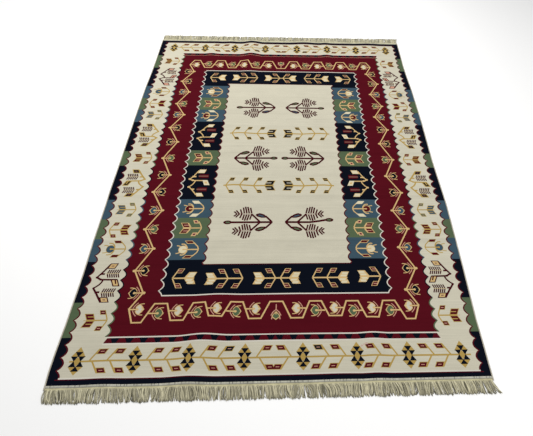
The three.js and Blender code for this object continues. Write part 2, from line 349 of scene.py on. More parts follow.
class Motif:
    """A figure of the weave, as patches in the order they cover each other."""

    def __init__(self) -> None:
        """Starts with no patches."""
        self.patches: list[tuple[np.ndarray, Dye]] = []

    def shape(self, outline: Points, dye: Dye) -> "Motif":
        """Adds a patch with the given corners."""
        self.patches.append((np.asarray(outline, float), dye))
        return self

    def line(self, path: Points, width: float, dye: Dye) -> "Motif":
        """Adds a band along a path."""
        return self.shape(ribbon(path, width), dye)

    def add(self, other: "Motif") -> None:
        """Adds another motif's patches on top."""
        self.patches += other.patches

    def bud(self, low: Place, high: Place, levels: Place, rim: Dye, heart: Dye,
            slot: Dye | None = None, rim_width: float = 4.0, opens: int = 0, slot_inset: float = 0.39,
            slot_side: float = 0.27) -> "Motif":
        """Adds a four-sided bud with level ends, woven as a rim, a heart and a small slot in it.

        Args:
            low: left and right x of the end at the first level.
            high: left and right x of the end at the second level.
            levels: y of the two ends.
            rim, heart, slot: the dyes.
            rim_width: the rim's width.
            opens: 1 if the slot runs out through the heart's right side, -1 for its left, 0 for none.
            slot_inset: the slot's distance from each end, against the bud's height.
            slot_side: its distance from each side, against the first end's width.
        Returns:
            This motif.
        """
        (a, b), (d, c), (y0, y1) = low, high, levels
        tall, up = abs(y1 - y0), 1 if y1 > y0 else -1
        wall, open_wall, slot_wall = rim_width * 1.15, rim_width * 0.5, (b - a) * slot_side
        slot_left = open_wall if opens < 0 else slot_wall
        slot_right = open_wall if opens > 0 else slot_wall
        for dye, inset, left, right in ((rim, 0, 0, 0), (heart, rim_width, wall, wall),
                                        (slot, tall * slot_inset, slot_left, slot_right)):
            if dye is not None:
                share, first, last = inset / tall, y0 + up * inset, y1 - up * inset
                self.shape([(a + (d - a) * share + left, first), (b + (c - b) * share - right, first),
                            (c + (b - c) * share - right, last), (d + (a - d) * share + left, last)], dye)
        return self

    def placed(self, at: Place, flip_x: bool, flip_y: bool, scale: float) -> "Motif":
        """Copies the motif to another place.

        Args:
            at: where its origin goes.
            flip_x, flip_y: whether it is mirrored left to right, or near to far.
            scale: its size against the original.
        Returns:
            The new motif.
        """
        size = np.array([-scale if flip_x else scale, -scale if flip_y else scale])
        moved = Motif()
        moved.patches = [(outline * size + at, dye) for outline, dye in self.patches]
        return moved


@dataclass(frozen=True)
class Scallops:
    """The wavy edge between two rows: round lobes to the right, with points between them."""

    point_x: float
    lobe_x: float
    first: float
    pitch: float
    power: float = 1.2
    steps: int = 8

    def x_at(self, y: np.ndarray) -> np.ndarray:
        """The edge's x: from the points' to the lobes' by a power of the absolute sine of y."""
        wave = np.abs(np.sin(np.pi * (np.asarray(y, float) - self.first) / self.pitch))
        return self.point_x + (self.lobe_x - self.point_x) * wave**self.power

    def path(self, y0: float, y1: float) -> np.ndarray:
        """The edge from y0 up to y1, with equal steps in each lobe.

        Args:
            y0, y1: its two ends.
        Returns:
            The points.
        """
        step, spare = self.pitch / self.steps, 0.1
        lowest = math.ceil((y0 - self.first) / step + spare)
        highest = math.floor((y1 - self.first) / step - spare)
        y = np.concatenate([[y0], self.first + np.arange(lowest, highest + 1) * step, [y1]])
        return np.stack([self.x_at(y), y], axis=1)


def star() -> Motif:
    """The end border's star: a gold lozenge drawn in at its waist, with six navy wedges in it.

    Returns:
        The motif.
    """
    m = Motif().shape([(0, 73), (-32, 23), (32, 23)], Dye.GOLD)
    m.shape([(0, -69), (34, -26), (-34, -26)], Dye.GOLD)
    m.shape([(0, 24), (15, 0), (0, -27), (-15, 0)], Dye.GOLD)
    for side in (-1, 1):
        m.shape([(side, 25), (side * 33, 25), (side * 14.5, -1)], Dye.NAVY)
        m.shape([(side, -28), (side * 34, -28), (side * 14.5, 1)], Dye.NAVY)
    m.shape([(-18, 48), (0, 21), (18, 48)], Dye.NAVY)
    return m.shape([(-18, -50), (18, -50), (0, -25)], Dye.NAVY)


def end_sprig(dye: Dye) -> Motif:
    """A branch that rises to the right from the end border's stem, with a leaning bud on it."""
    m = Motif().line([(2, -1), (38, 60)], 7.4, Dye.GOLD)
    return m.bud((27, 66), (38, 79), (33, 61), Dye.GOLD, dye, Dye.ROSE, 3.0, slot_inset=0.44, slot_side=0.3)


def carnation(dye: Dye) -> Motif:
    """A border flower on its stem: the stem's root is the origin and the flower faces right.

    Args:
        dye: its heart's, where white stands for the flower with a cream heart.
    Returns:
        The motif.
    """
    m = Motif()
    for side in (-1, 1):
        m.line(bow((20, side * 6), (25, side * 23), (41, side * 38)), 4.4, Dye.ROSE)
        m.line(bow((33, side * 8), (40, side * 34), (72, side * 32)), 4.8, Dye.STRAW)
    m.shape([(33, 0), (38, 14), (44, 25), (54, 29), (65, 18), (76, 0), (65, -18), (54, -29), (44, -25),
             (38, -14)], Dye.STRAW)
    if dye is Dye.WHITE:
        dot = 41
        m.shape([(34, 0), (37, 13), (45, 24), (53, 25), (60, 15), (62, 4), (72, 0), (62, -4), (60, -15),
                 (53, -25), (45, -24), (37, -13)], Dye.CREAM)
    else:
        dot = 45
        m.shape([(32, 0), (36, 14), (43, 24), (52, 26), (63, 16), (70, 0), (63, -16), (52, -26),
                 (43, -24), (36, -14)], dye)
    m.line([(0, 0), (dot, 0)], 8, Dye.STRAW)
    return m.shape(oval((dot, 0), 7.2, 7.2, 10), Dye.STRAW)


def drop() -> Motif:
    """The slim flower in the middle of each end's border: it hangs below its root, the origin.

    Returns:
        The motif.
    """
    m = Motif().line([(0, 0), (0, -32)], 5, Dye.ROSE)
    m.line([(-25, -65), (-15, -45), (0, -31), (15, -45), (25, -65)], 5, Dye.ROSE)
    m.line([(-21, -86), (-18, -66), (0, -44), (18, -66), (21, -86)], 5, Dye.ROSE)
    m.shape([(0, -40), (17, -60), (21, -73), (0, -90), (-21, -73), (-17, -60)], Dye.STRAW)
    m.shape([(0, -47), (14, -62), (16, -72), (0, -84), (-16, -72), (-14, -62)], Dye.GREEN)
    return m.line([(0, -44), (0, -59)], 5, Dye.STRAW)


def tulip(heart: Dye, bud: Dye, slot: Dye | None = Dye.GOLD) -> Motif:
    """The outer column's tulip: origin on its stem, in the middle of the column, head to the left.

    Args:
        heart: the dye of its petals.
        bud: that of its two small buds.
        slot: that of the slot in each petal.
    Returns:
        The motif.
    """
    m = Motif()
    for side in (-1, 1):
        m.line([(61, side * 2), (56, side * 16), (45, side * 42)], 6.2, Dye.GOLD)
        m.bud((13, 43), (21, 51), (side * 57, side * 31), Dye.GOLD, bud, Dye.ROSE, 2.6, slot_inset=0.42)
        m.bud((-37, 4), (-54, -10), (side * 2, side * 38), Dye.GOLD, heart, slot, 3.2, 1, 0.43)
    m.line([(-50, 0), (0, 0)], 3.2, Dye.GOLD)
    return m.line([(-34, 0), (63, 0)], 7.8, Dye.GOLD)


def curled_head(dye: Dye) -> Motif:
    """The outer column's round flower: origin in the middle of the column, head to the left.

    Args:
        dye: its heart's.
    Returns:
        The motif.
    """
    m = Motif()
    for side in (-1, 1):
        m.line([(55, side), (49, side * 19), (25, side * 48)], 5.6, Dye.GOLD)
        m.bud((-18, 21), (-7, 30), (side * 58, side * 38), Dye.GOLD, Dye.MAROON, None, 2.2)
        m.line(bow((-40, side * 39), (-10, side * 44), (-4, side * 10)), 6.5, Dye.GOLD)
        m.line(bow((-63, side * 26), (-46, side * 27), (-36, side * 18)), 5.6, Dye.GOLD)
    m.shape(oval((-25, 0), 24, 28, 16), Dye.GOLD)
    m.shape(oval((-26, 0), 21, 25, 16), dye)
    m.line([(-24, 0), (57, 0)], 8, Dye.GOLD)
    return m.shape(oval((-24, 0), 6, 6, 8), Dye.GOLD)


def comb(x0: float, x1: float, y: float, reach: float, strokes: int, dye: Dye) -> Motif:
    """A row of small chevrons that point left, on a thin quill.

    Args:
        x0, x1: the first and last stroke's place along it.
        y: its level.
        reach: how far the strokes run to each side.
        strokes: how many there are on each side.
        dye: their colour.
    Returns:
        The motif.
    """
    m = Motif().line([(x0 - 9, y), (x1 + 4, y)], 2.2, Dye.GOLD)
    for x in np.linspace(x0, x1, strokes):
        for side in (-1, 1):
            m.line([(x, y + side * 2.2), (x + 8, y + side * reach)], 6.8, dye)
    return m


def candelabrum(stem: Dye, rim: Dye, heart: Dye, slot: Dye | None) -> Motif:
    """The outer column's tall figure: origin in the middle of the column and of its height.

    Args:
        stem: the dye of its stems.
        rim, heart: those of its three buds.
        slot: that of the slots in the two standing ones.
    Returns:
        The motif.
    """
    m = Motif()
    m.line([(-53, 33), (-28, 70), (-1, 116)], 10, stem)
    m.line([(-55, -32), (-30, -68), (1, -117)], 10, stem)
    m.line([(-54, 34), (-30, 19), (53, 17)], 10.5, stem)
    m.line(bow((-19, 16), (-22, -12), (-56, -33)), 9, stem)
    m.line([(-42, 54), (-18, 54)], 11, stem)
    m.line([(-42, -57), (-18, -57)], 11, stem)
    for y in (33, -33):
        m.shape(oval((-53, y), 7, 7, 8), stem)
    m.shape(oval((-32, 20), 7, 7, 8), stem)
    m.bud((-16, 26), (-2, 40), (87, 122), rim, heart, slot, 5.2, slot_inset=0.4, slot_side=0.34)
    m.bud((18, 55), (38, 74), (20, -24), rim, heart, None, 5.6)
    m.line([(42, 18), (51, -9)], 7, rim)
    m.bud((-12, 29), (1, 43), (-87, -119), rim, heart, slot, 5.2, slot_inset=0.4, slot_side=0.34)
    for y in (56, -61):
        m.add(comb(-6, 49, y, 25, 6, Dye.PLUM))
    return m


def inner_head(dye: Dye, leaves: bool) -> Motif:
    """The inner border's round flower, head to the left: origin on its stem, in the row's middle.

    Args:
        dye: the head's colour.
        leaves: long ivory leaves above and below, or small maroon buds.
    Returns:
        The motif.
    """
    m = Motif()
    for side in (-1, 1):
        m.line([(57, side), (50, side * 22), (28, side * 47)], 6.6, Dye.STRAW)
        if leaves:
            m.bud((-20, 19), (-3, 38), (side * 64, side * 40), Dye.IVORY, Dye.IVORY)
        else:
            m.bud((-24, 20), (-8, 34), (side * 61, side * 40), Dye.STRAW, Dye.MAROON, None, 3.6)
        m.line(bow((-62, side * 27), (-46, side * 27), (-34, side * 14)), 6.6, Dye.STRAW)
        m.line(bow((-38, side * 36), (-16, side * 46), (-4, side * 10)), 7.4, Dye.STRAW)
    m.shape(oval((-26, 0), 25, 28, 16), Dye.STRAW)
    m.shape(oval((-27, 0), 21, 24, 16), dye)
    m.line([(-24, 0), (57, 0)], 8.6, Dye.STRAW)
    return m.shape(oval((-24, 0), 6, 6, 8), Dye.STRAW)


def inner_tulip() -> Motif:
    """The inner border's maroon tulip with a gold rim, head to the left.

    Returns:
        The motif.
    """
    m = Motif()
    for side in (-1, 1):
        m.line([(58, side * 2), (50, side * 24), (38, side * 50)], 6.2, Dye.STRAW)
        m.bud((14, 40), (4, 30), (side * 34, side * 60), Dye.STRAW, Dye.ROSE, Dye.MAROON, 3.6, 0, 0.3)
        m.bud((-44, -3), (-62, -21), (side * 3, side * 40), Dye.STRAW, Dye.MAROON, Dye.ROSE, 3.6, 1, 0.43)
        m.shape([(-22, side * 40), (-16, side * 38), (0, side * 8), (-8, side * 6)], Dye.STRAW)
    return m.line([(-46, 0), (58, 0)], 8, Dye.STRAW)


def inner_candelabrum() -> Motif:
    """The inner border's tall gold figure with ivory buds, its corners to the left.

    Returns:
        The motif.
    """
    m = Motif()
    m.line([(-60, 34), (-40, 62), (-14, 112)], 7.2, Dye.STRAW)
    m.line([(-62, -30), (-36, -62), (-8, -106)], 7.2, Dye.STRAW)
    m.line([(-62, 32), (-40, 21), (38, 20)], 8, Dye.STRAW)
    m.line(bow((-26, 18), (-32, -12), (-58, -34)), 7, Dye.STRAW)
    m.line([(-44, 56), (-24, 56)], 11, Dye.STRAW)
    m.line([(-40, -56), (-24, -56)], 11, Dye.STRAW)
    for x, y in ((-62, 34), (-60, -36), (-42, 23), (-42, 56)):
        m.shape(oval((x, y), 8, 8, 8), Dye.STRAW)
    m.bud((-20, 22), (-10, 33), (88, 121), Dye.STRAW, Dye.IVORY, None, 2.6)
    m.bud((17, 47), (31, 64), (24, -20), Dye.IVORY, Dye.IVORY, Dye.STRAW, 4, 0, 0.3)
    m.bud((-12, 24), (-4, 38), (-88, -119), Dye.STRAW, Dye.IVORY, None, 2.6)
    for y in (60, -57):
        m.line([(-6, y), (52, y)], 36, Dye.PLUM)
        m.line([(8, y), (50, y)], 26, Dye.MAROON)
        m.line([(-10, y), (48, y)], 11, Dye.TAUPE)
    return m


def band_head() -> Motif:
    """The navy band's ivory arrow-shaped head, opening to the left, with its stem's root at the right.

    Returns:
        The motif.
    """
    m = Motif().shape([(-62, 38), (-22, 38), (0, 3), (0, -3), (-22, -37), (-62, -37), (-48, -4),
                       (-54, 0), (-48, 4)], Dye.STRAW)
    for low, high, left, right in ((-34, -20, -52, -22), (-17, -6, -45, -13), (6, 17, -45, -13),
                                   (20, 34, -52, -22)):
        near, far = (0, 6) if high > 0 else (-6, 0)
        m.shape([(left - near, low), (right - near, low), (right - far, high), (left - far, high)], Dye.IVORY)
    return m.line([(-50, 0), (0, 0)], 7, Dye.STRAW)


def band_chevron() -> Motif:
    """A chevron of the navy band that points right, with a bud at each of its ends.

    Returns:
        The motif.
    """
    m = Motif()
    for side in (-1, 1):
        m.line([(0, side), (-26, side * 57)], 6.4, Dye.STRAW)
        m.bud((-43, -14), (-57, -25), (side * 32, side * 61), Dye.STRAW, Dye.MAROON, Dye.ROSE, 3.0, 1, 0.42)
    return m


def feather(x0: float, y: float) -> Motif:
    """A field plant's feather: a thin quill to the left, with strokes that get short at its tip.

    Args:
        x0: where the quill starts.
        y: its level.
    Returns:
        The motif.
    """
    m = Motif().line([(x0, y), (x0 - 84, y)], 3.4, Dye.TAUPE)
    back = 0.0
    for reach, lean in ((50, 9), (57, 11), (59, 10), (52, 8), (37, 10), (29, 20), (20, 17)):
        for side in (-1, 1):
            x = x0 - 2 - back
            longest = reach if side * y > 0 else 0.9 * reach
            start = 5 if reach > 40 else 1
            m.line([(x, y + side * start), (x - lean, y + side * longest)], 9.2, Dye.PLUM)
        back += 14.2
    return m


def plant(leaves: tuple[Dye, Dye], rise: float = 0.0) -> Motif:
    """A field plant lying on its side: origin at its root at the right, with its bud far to the left.

    Args:
        leaves: dyes of the upper and the lower leaf.
        rise: how far its stem bends up towards the bud.
    Returns:
        The motif.
    """
    m = Motif()
    m.line([(0, 0), (-140, 0), (-190, rise * 0.45), (-236, rise)], 15, Dye.PLUM)
    for side, dye in ((1, leaves[0]), (-1, leaves[1])):
        m.line([(0, 0), (-38, side * 47)], 12, Dye.PLUM)
        m.shape([(-27, side * 41), (-48, side * 61), (-72, side * 71), (-90, side * 66), (-98, side * 56),
                 (-87, side * 43), (-62, side * 34), (-40, side * 34)], Dye.PLUM)
        m.shape([(-43, side * 43), (-58, side * 54), (-74, side * 60), (-86, side * 57), (-75, side * 48),
                 (-57, side * 42)], dye)
        m.line([(-68, 0), (-121, side * 65)], 11.5, Dye.PLUM)
        m.add(feather(-118, side * 65))
    m.shape(oval((-254, rise), 25, 15, 12), Dye.PLUM)
    return m.shape(oval((-253, rise), 13, 6.5, 10), Dye.GREEN)


def sprig() -> Motif:
    """The field's gold sprig: origin at its root at the left, with three pairs of buds and one more
    pair as its head.

    Returns:
        The motif.
    """
    m = Motif().line([(0, 2), (60, 8), (105, 6), (190, -2), (262, 0)], 11, Dye.GOLD)
    for root, rise in ((14, 3), (98, 6), (184, -2)):
        for side in (-1, 1):
            start = 43 if side > 0 else 37
            m.line([(root, rise), (root + 20, side * (start + 2))], 7.6, Dye.GOLD)
            m.bud((root + 16, root + 46), (root + 25, root + 56), (side * start, side * (start + 29)),
                  Dye.GOLD, Dye.NAVY, Dye.GOLD, 3.0, -1, 0.42)
    for side in (-1, 1):
        m.bud((249, 302), (267, 319), (side * 2, side * 44), Dye.GOLD, Dye.NAVY, Dye.CREAM, 3.6, -1,
              0.43, 0.34)
    return m.line([(250, 0), (310, 0)], 5, Dye.GOLD)


class Side(Enum):
    """Whether a figure is woven once or also mirrored in the rug's long middle line."""

    BOTH = 1
    ONCE = 2


# Where each block of colour in the outer guard and in the inner border starts
GUARD_ROWS = ((0, Dye.NAVY), (240, Dye.GREEN), (432, Dye.NAVY), (683, Dye.BLUE), (838, Dye.GREEN),
              (985, Dye.BLUE), (1140, Dye.NAVY), (1440, Dye.GREEN), (1578, Dye.NAVY), (1890, Dye.BLUE),
              (2035, Dye.GREEN), (2175, Dye.BLUE), (2330, Dye.NAVY), (2590, Dye.GREEN), (2775, Dye.NAVY),
              (3000, Dye.NAVY))
INNER_ROWS = ((463, Dye.NAVY), (688, Dye.BLUE), (840, Dye.GREEN), (993, Dye.BLUE), (1143, Dye.NAVY),
              (1445, Dye.GREEN), (1590, Dye.NAVY), (1900, Dye.BLUE), (2040, Dye.GREEN), (2190, Dye.BLUE),
              (2345, Dye.NAVY), (2556, Dye.NAVY))


def blocks(rows: Sequence[tuple[float, Dye]]) -> list[tuple[float, float, Dye]]:
    """The two edges and the dye of each block, from where each starts."""
    return [(low, high, dye) for (low, dye), (high, _) in zip(rows, rows[1:])]


@dataclass
class Chart:
    """The rug's pattern, as flat patches in the order they cover each other."""

    guard_edge: Scallops = Scallops(26, 46.5, 6.7, 65.2, 0.85)
    column_edge: Scallops = Scallops(195, 217, 236.4, 65.4, 0.95)
    border_edge: Scallops = Scallops(400, 421, 494.0, 65.75, 0.95)
    field_edge: Scallops = Scallops(598, 615, 665.9, 65.6, 0.95)
    cream_low: float = 30.0
    cream_high: float = 2978.0
    border_low: float = 240.0
    border_high: float = 2783.0
    inner_low: float = 463.0
    inner_high: float = 2556.0
    field_low: float = 656.0
    field_high: float = 2377.0
    guard_width: float = 60.0
    block_end: float = 660.0
    tooth_first: float = 247.0
    tooth_pitch: float = 66.5
    teeth: int = 12
    patches: list[tuple[np.ndarray, Dye]] = field(default_factory=list)

    def shape(self, outline: Points, dye: Dye, side: Side = Side.BOTH, slide: float = 0.0) -> None:
        """Covers what lies below with a patch, and with its mirror image unless it is woven once.

        Args:
            outline: the corners in order.
            dye: its colour.
            side: whether it is mirrored too.
            slide: how far to the right the mirror image stands of its exact place.
        """
        outline = np.asarray(outline, float)
        self.patches.append((outline, dye))
        if side is Side.BOTH:
            self.patches.append((outline * (-1, 1) + (BODY_WIDTH + slide, 0), dye))

    def line(self, path: Points, width: float, dye: Dye, side: Side = Side.BOTH,
             slide: float = 0.0) -> None:
        """Covers what lies below with a band along a path."""
        self.shape(ribbon(path, width), dye, side, slide)

    def hem(self, edge: Scallops, low: float, high: float, width: float, dye: Dye) -> None:
        """Covers a scalloped edge with a band that stays blunt at its points."""
        self.shape(ribbon(edge.path(low, high), width, 1.0), dye)

    def place(self, motif: Motif, at: Place, side: Side = Side.BOTH, flip_x: bool = False,
              flip_y: bool = False, scale: float = 1.0, slide: float = 0.0) -> None:
        """Weaves a motif with its origin at a place, mirrored and scaled as asked."""
        for outline, dye in motif.placed(at, flip_x, flip_y, scale).patches:
            self.shape(outline, dye, side, slide)

    def bar(self, low: float, high: float, dye: Dye, inset: float = 0.0, high_inset: float = 0.0) -> None:
        """Covers a level stripe from one side to the other.

        Args:
            low, high: its two edges.
            dye: its colour.
            inset: how far it stays from each side of the rug.
            high_inset: the same at its second edge, where that differs.
        """
        a, b = inset, high_inset or inset
        self.shape([(a, low), (BODY_WIDTH - a, low), (BODY_WIDTH - b, high), (b, high)], dye, Side.ONCE)

    def between(self, edge: Scallops, low: float, high: float, dye: Dye) -> None:
        """Covers all between a scalloped edge and its mirror image, from one level to another.

        Args:
            edge: the left edge.
            low, high: the levels.
            dye: the colour.
        """
        left = edge.path(low, high)
        right = (left * (-1, 1) + (BODY_WIDTH, 0))[::-1]
        self.shape(np.vstack([left, right]), dye, Side.ONCE)

    def ground(self) -> None:
        """Weaves the plain colours of the guards, borders and field, and the lines between them."""
        self.bar(0, BODY_LENGTH, Dye.NAVY)
        for low, high, dye in blocks(GUARD_ROWS):
            if dye is not Dye.NAVY:
                self.shape([(0, low), (self.guard_width, low), (self.guard_width, high), (0, high)], dye)
        self.between(self.guard_edge, self.cream_low, self.cream_high, Dye.CREAM)
        self.hem(self.guard_edge, self.cream_low - 2, self.cream_high, 6.8, Dye.MAROON)
        self.bar(self.cream_low - 4.5, self.cream_low, Dye.MAROON, 30)
        self.bar(self.cream_high, self.cream_high + 5, Dye.MAROON, 30)
        self.bar(self.cream_low, self.cream_low + 7, Dye.WHITE, 44)
        self.between(self.column_edge, self.border_low, self.border_high, Dye.MAROON)
        for low, high, dye in blocks(GUARD_ROWS):
            low, high = max(low, self.border_low), min(high, self.border_high)
            if low < high:
                self.hem(self.column_edge, low, high, 6.5, dye)
        self.between(self.border_edge, self.inner_low, self.inner_high, Dye.NAVY)
        for low, high, dye in blocks(INNER_ROWS):
            if dye is not Dye.NAVY:
                edge = self.border_edge.path(low, high)
                self.shape(np.vstack([edge, [(self.block_end, high), (self.block_end, low)]]), dye)
        self.hem(self.border_edge, self.inner_low, self.inner_high, 5.5, Dye.WHITE)
        self.bar(self.inner_low - 2, self.inner_low + 5, Dye.WHITE, 419)
        self.bar(self.inner_high - 4, self.inner_high + 3, Dye.WHITE, 415)
        self.between(self.field_edge, self.field_low, self.field_high, Dye.CREAM)
        self.hem(self.field_edge, self.field_low, self.field_high, 6.4, Dye.MAROON)
        self.bar(self.field_low - 3, self.field_low + 1.5, Dye.MAROON, 600)
        self.bar(self.field_high - 1.5, self.field_high + 3, Dye.MAROON, 600)

    def tooth_bands(self) -> None:
        """Weaves the band of navy and maroon teeth between its pale lines at each end."""
        for low, high, outer_line, inner_line, inner_dye in ((205, 233, 6.5, 6.5, Dye.WHITE),
                                                             (2813, 2785, -6, -3.5, Dye.ROSE)):
            up = 1 if high > low else -1
            self.bar(low, high, Dye.MAROON, 198, 210)
            for middle in self.tooth_first + self.tooth_pitch * np.arange(self.teeth):
                self.shape([(middle - 8, low), (middle + 8, low), (middle + 21, high), (middle - 21, high)],
                           Dye.NAVY)
            self.bar(low - outer_line, low, Dye.WHITE, 196)
            self.bar(high, high + inner_line, inner_dye, 204, 200)
            self.line([(197, low + up * 2), (209, high)], 3, Dye.CREAM)

    def end_borders(self) -> None:
        """Weaves the stars and the branching stem of the two cream end borders."""
        red, navy = end_sprig(Dye.MAROON), end_sprig(Dye.NAVY)
        for y, mixed, scale, slide, star_step in ((117, (navy, red), 1.0, -8, 0),
                                                  (2904, (red, navy), 0.97, -4, 6)):
            self.line([(70, y - 1), (BODY_WIDTH - 70, y - 1)], 8.8, Dye.GOLD, Side.ONCE)
            for root in (155, 235, 410, 490, 655, 735, 912):
                upper, lower = mixed if root == 735 else (red, red)
                self.place(upper, (root, y), scale=scale, slide=slide)
                self.place(lower, (root + 14, y - 2), flip_y=True, scale=scale, slide=slide)
            for x in (104, 360, 605, 860):
                self.place(star(), (x + star_step, y - star_step), scale=scale, slide=slide)

    def outer_column(self) -> None:
        """Weaves the figures of the cream columns along the two sides, from near to far."""
        middle = 123.0
        red = tulip(Dye.MAROON, Dye.MAROON)
        blue = tulip(Dye.BLUE, Dye.GREEN)
        for y in (330, 1515, 2690):
            self.place(red, (middle, y))
        self.place(red, (middle - 1, 905), flip_x=True)
        self.place(tulip(Dye.MAROON, Dye.MAROON, None), (middle - 1, 2110), flip_x=True)
        for y in (1060, 1975):
            self.place(blue, (middle - 8, y), scale=0.97)
        for y in (768, 2260):
            self.place(curled_head(Dye.BLUE), (middle, y))
        maroon_figure = candelabrum(Dye.PLUM, Dye.PLUM, Dye.STRAW, Dye.TAUPE)
        gold_figure = candelabrum(Dye.GOLD, Dye.GOLD, Dye.NAVY, Dye.TAUPE)
        self.place(maroon_figure, (middle + 2, 549))
        self.place(gold_figure, (middle + 2, 1283), flip_x=True)
        self.place(gold_figure, (middle + 2, 1752), flip_x=True, flip_y=True)
        self.place(candelabrum(Dye.PLUM, Dye.PLUM, Dye.ROSE, None), (middle + 2, 2464), flip_y=True)

    def maroon_border(self) -> None:
        """Weaves the gold meander round the maroon border, with a flower at each of its bends."""
        middle = 290
        dyes = {"n": Dye.NAVY, "b": Dye.BLUE, "g": Dye.GREEN}
        bends = ((325, 483, "n"), (256, 620, "n"), (325, 768, "b"), (256, 908, "g"), (325, 1053, "b"),
                 (250, 1205, "n"), (322, 1355, "n"), (256, 1513, "g"), (322, 1677, "n"), (251, 1830, "n"),
                 (322, 1978, "b"), (254, 2110, "g"), (321, 2260, "b"), (249, 2402, "n"), (320, 2540, "n"))
        near = [(275, 390), (303, 313), (348, 313), (395, 418), (457, 418), (487, 322), (548, 322),
                (585, 418), (645, 418), (672, 334), (735, 334), (772, 419), (832, 419), (867, 323),
                (926, 323), (968, 418), (1001, 418)]
        far = [(275, 2640), (303, 2707), (350, 2707), (395, 2602), (448, 2602), (487, 2707), (548, 2707),
               (583, 2602), (640, 2602), (672, 2707), (733, 2707), (773, 2602), (835, 2602), (870, 2707),
               (930, 2707), (968, 2602), (1001, 2602)]
        self.line(near[::-1] + [(x, y) for x, y, _ in bends] + far, 8, Dye.STRAW)
        for x, y, dye in bends:
            self.place(carnation(dyes[dye]), (x, y), flip_x=x > middle, scale=0.97)
            self.shape(oval((x + 4 if x > middle else x - 4, y), 8.5, 8.5, 8), Dye.STRAW)
        for dye, scale, places in (
                (Dye.WHITE, 0.99, ((275, 387), (466, 376), (657, 379), (848, 378))),
                (Dye.GREEN, 0.98, ((374, 363), (564, 361), (754, 365))),
                (Dye.WHITE, 1.02, ((276, 2642), (466, 2642), (655, 2642), (850, 2642))),
                (Dye.GREEN, 0.96, ((376, 2655), (566, 2655), (757, 2655)))):
            for at in places:
                self.place(carnation(dye), at, scale=scale)
        self.place(drop(), (CENTRE_X, 402), Side.ONCE)
        self.place(drop(), (CENTRE_X, 2606), Side.ONCE, flip_y=True, scale=1.05)

    def inner_border(self) -> None:
        """Weaves the figures of the blocks of navy, blue and green round the field."""
        middle, stem = 509.0, 8.4
        for y in (1066, 1970):
            self.place(inner_head(Dye.MAROON, True), (middle - 3, y))
        for y in (759, 2268):
            self.place(inner_head(Dye.IVORY, False), (middle + 2, y))
        for y in (915, 1518, 2113):
            self.place(inner_tulip(), (middle, y))
        self.place(inner_candelabrum(), (middle + 3, 1284))
        self.place(inner_candelabrum(), (middle + 3, 1750), flip_y=True)
        for y, corner_y, slide in ((562.0, 569.0, 6), (2464.0, 2460.0, 3)):
            self.line([(462, corner_y), (540, corner_y)], stem, Dye.STRAW, slide=slide)
            self.place(band_chevron(), (457, corner_y), flip_x=True, slide=slide)
            self.place(band_head(), (517, corner_y), flip_x=True, slide=slide)
            self.line([(676, y), (820, y)], stem, Dye.STRAW, slide=slide)
            self.place(band_head(), (687, y), slide=slide)
            for x in (744, 820):
                self.place(band_chevron(), (x, y), slide=slide)
            self.line([(926, y - 1), (BODY_WIDTH - 928, y - 1)], stem, Dye.STRAW, Side.ONCE)
            self.place(band_head(), (935, y - 1), slide=-3)
            self.place(band_chevron(), (991, y - 1), Side.ONCE)
            self.place(band_chevron(), (1017, y - 1), Side.ONCE, flip_x=True)

    def field_figures(self) -> None:
        """Weaves the plants and sprigs of the cream field."""
        even = plant((Dye.GREEN, Dye.GREEN))
        self.place(plant((Dye.BLUE, Dye.GREEN)), (963, 956), Side.ONCE)
        self.place(plant((Dye.BLUE, Dye.GREEN), 19.0), (BODY_WIDTH - 960, 956), Side.ONCE, flip_x=True)
        self.place(even, (711, 1516), flip_x=True, slide=2)
        self.place(plant((Dye.GREEN, Dye.BLUE)), (963, 2073), slide=4)
        for y in (1260, 1772):
            self.place(sprig(), (660, y))

    def stain(self) -> None:
        """Marks the faint pink stain, where red dye ran, beside a star of the near border."""
        for x, y, across, along in ((1413, 168, 7, 5), (1425, 174, 6, 4), (1436, 178, 8, 5)):
            self.shape(oval((x, y), across, along, 12), Dye.BLUSH, Side.ONCE)

    def weave(self) -> None:
        """Weaves the whole pattern, ground first."""
        self.ground()
        self.tooth_bands()
        self.end_borders()
        self.outer_column()
        self.maroon_border()
        self.inner_border()
        self.field_figures()
        self.stain()


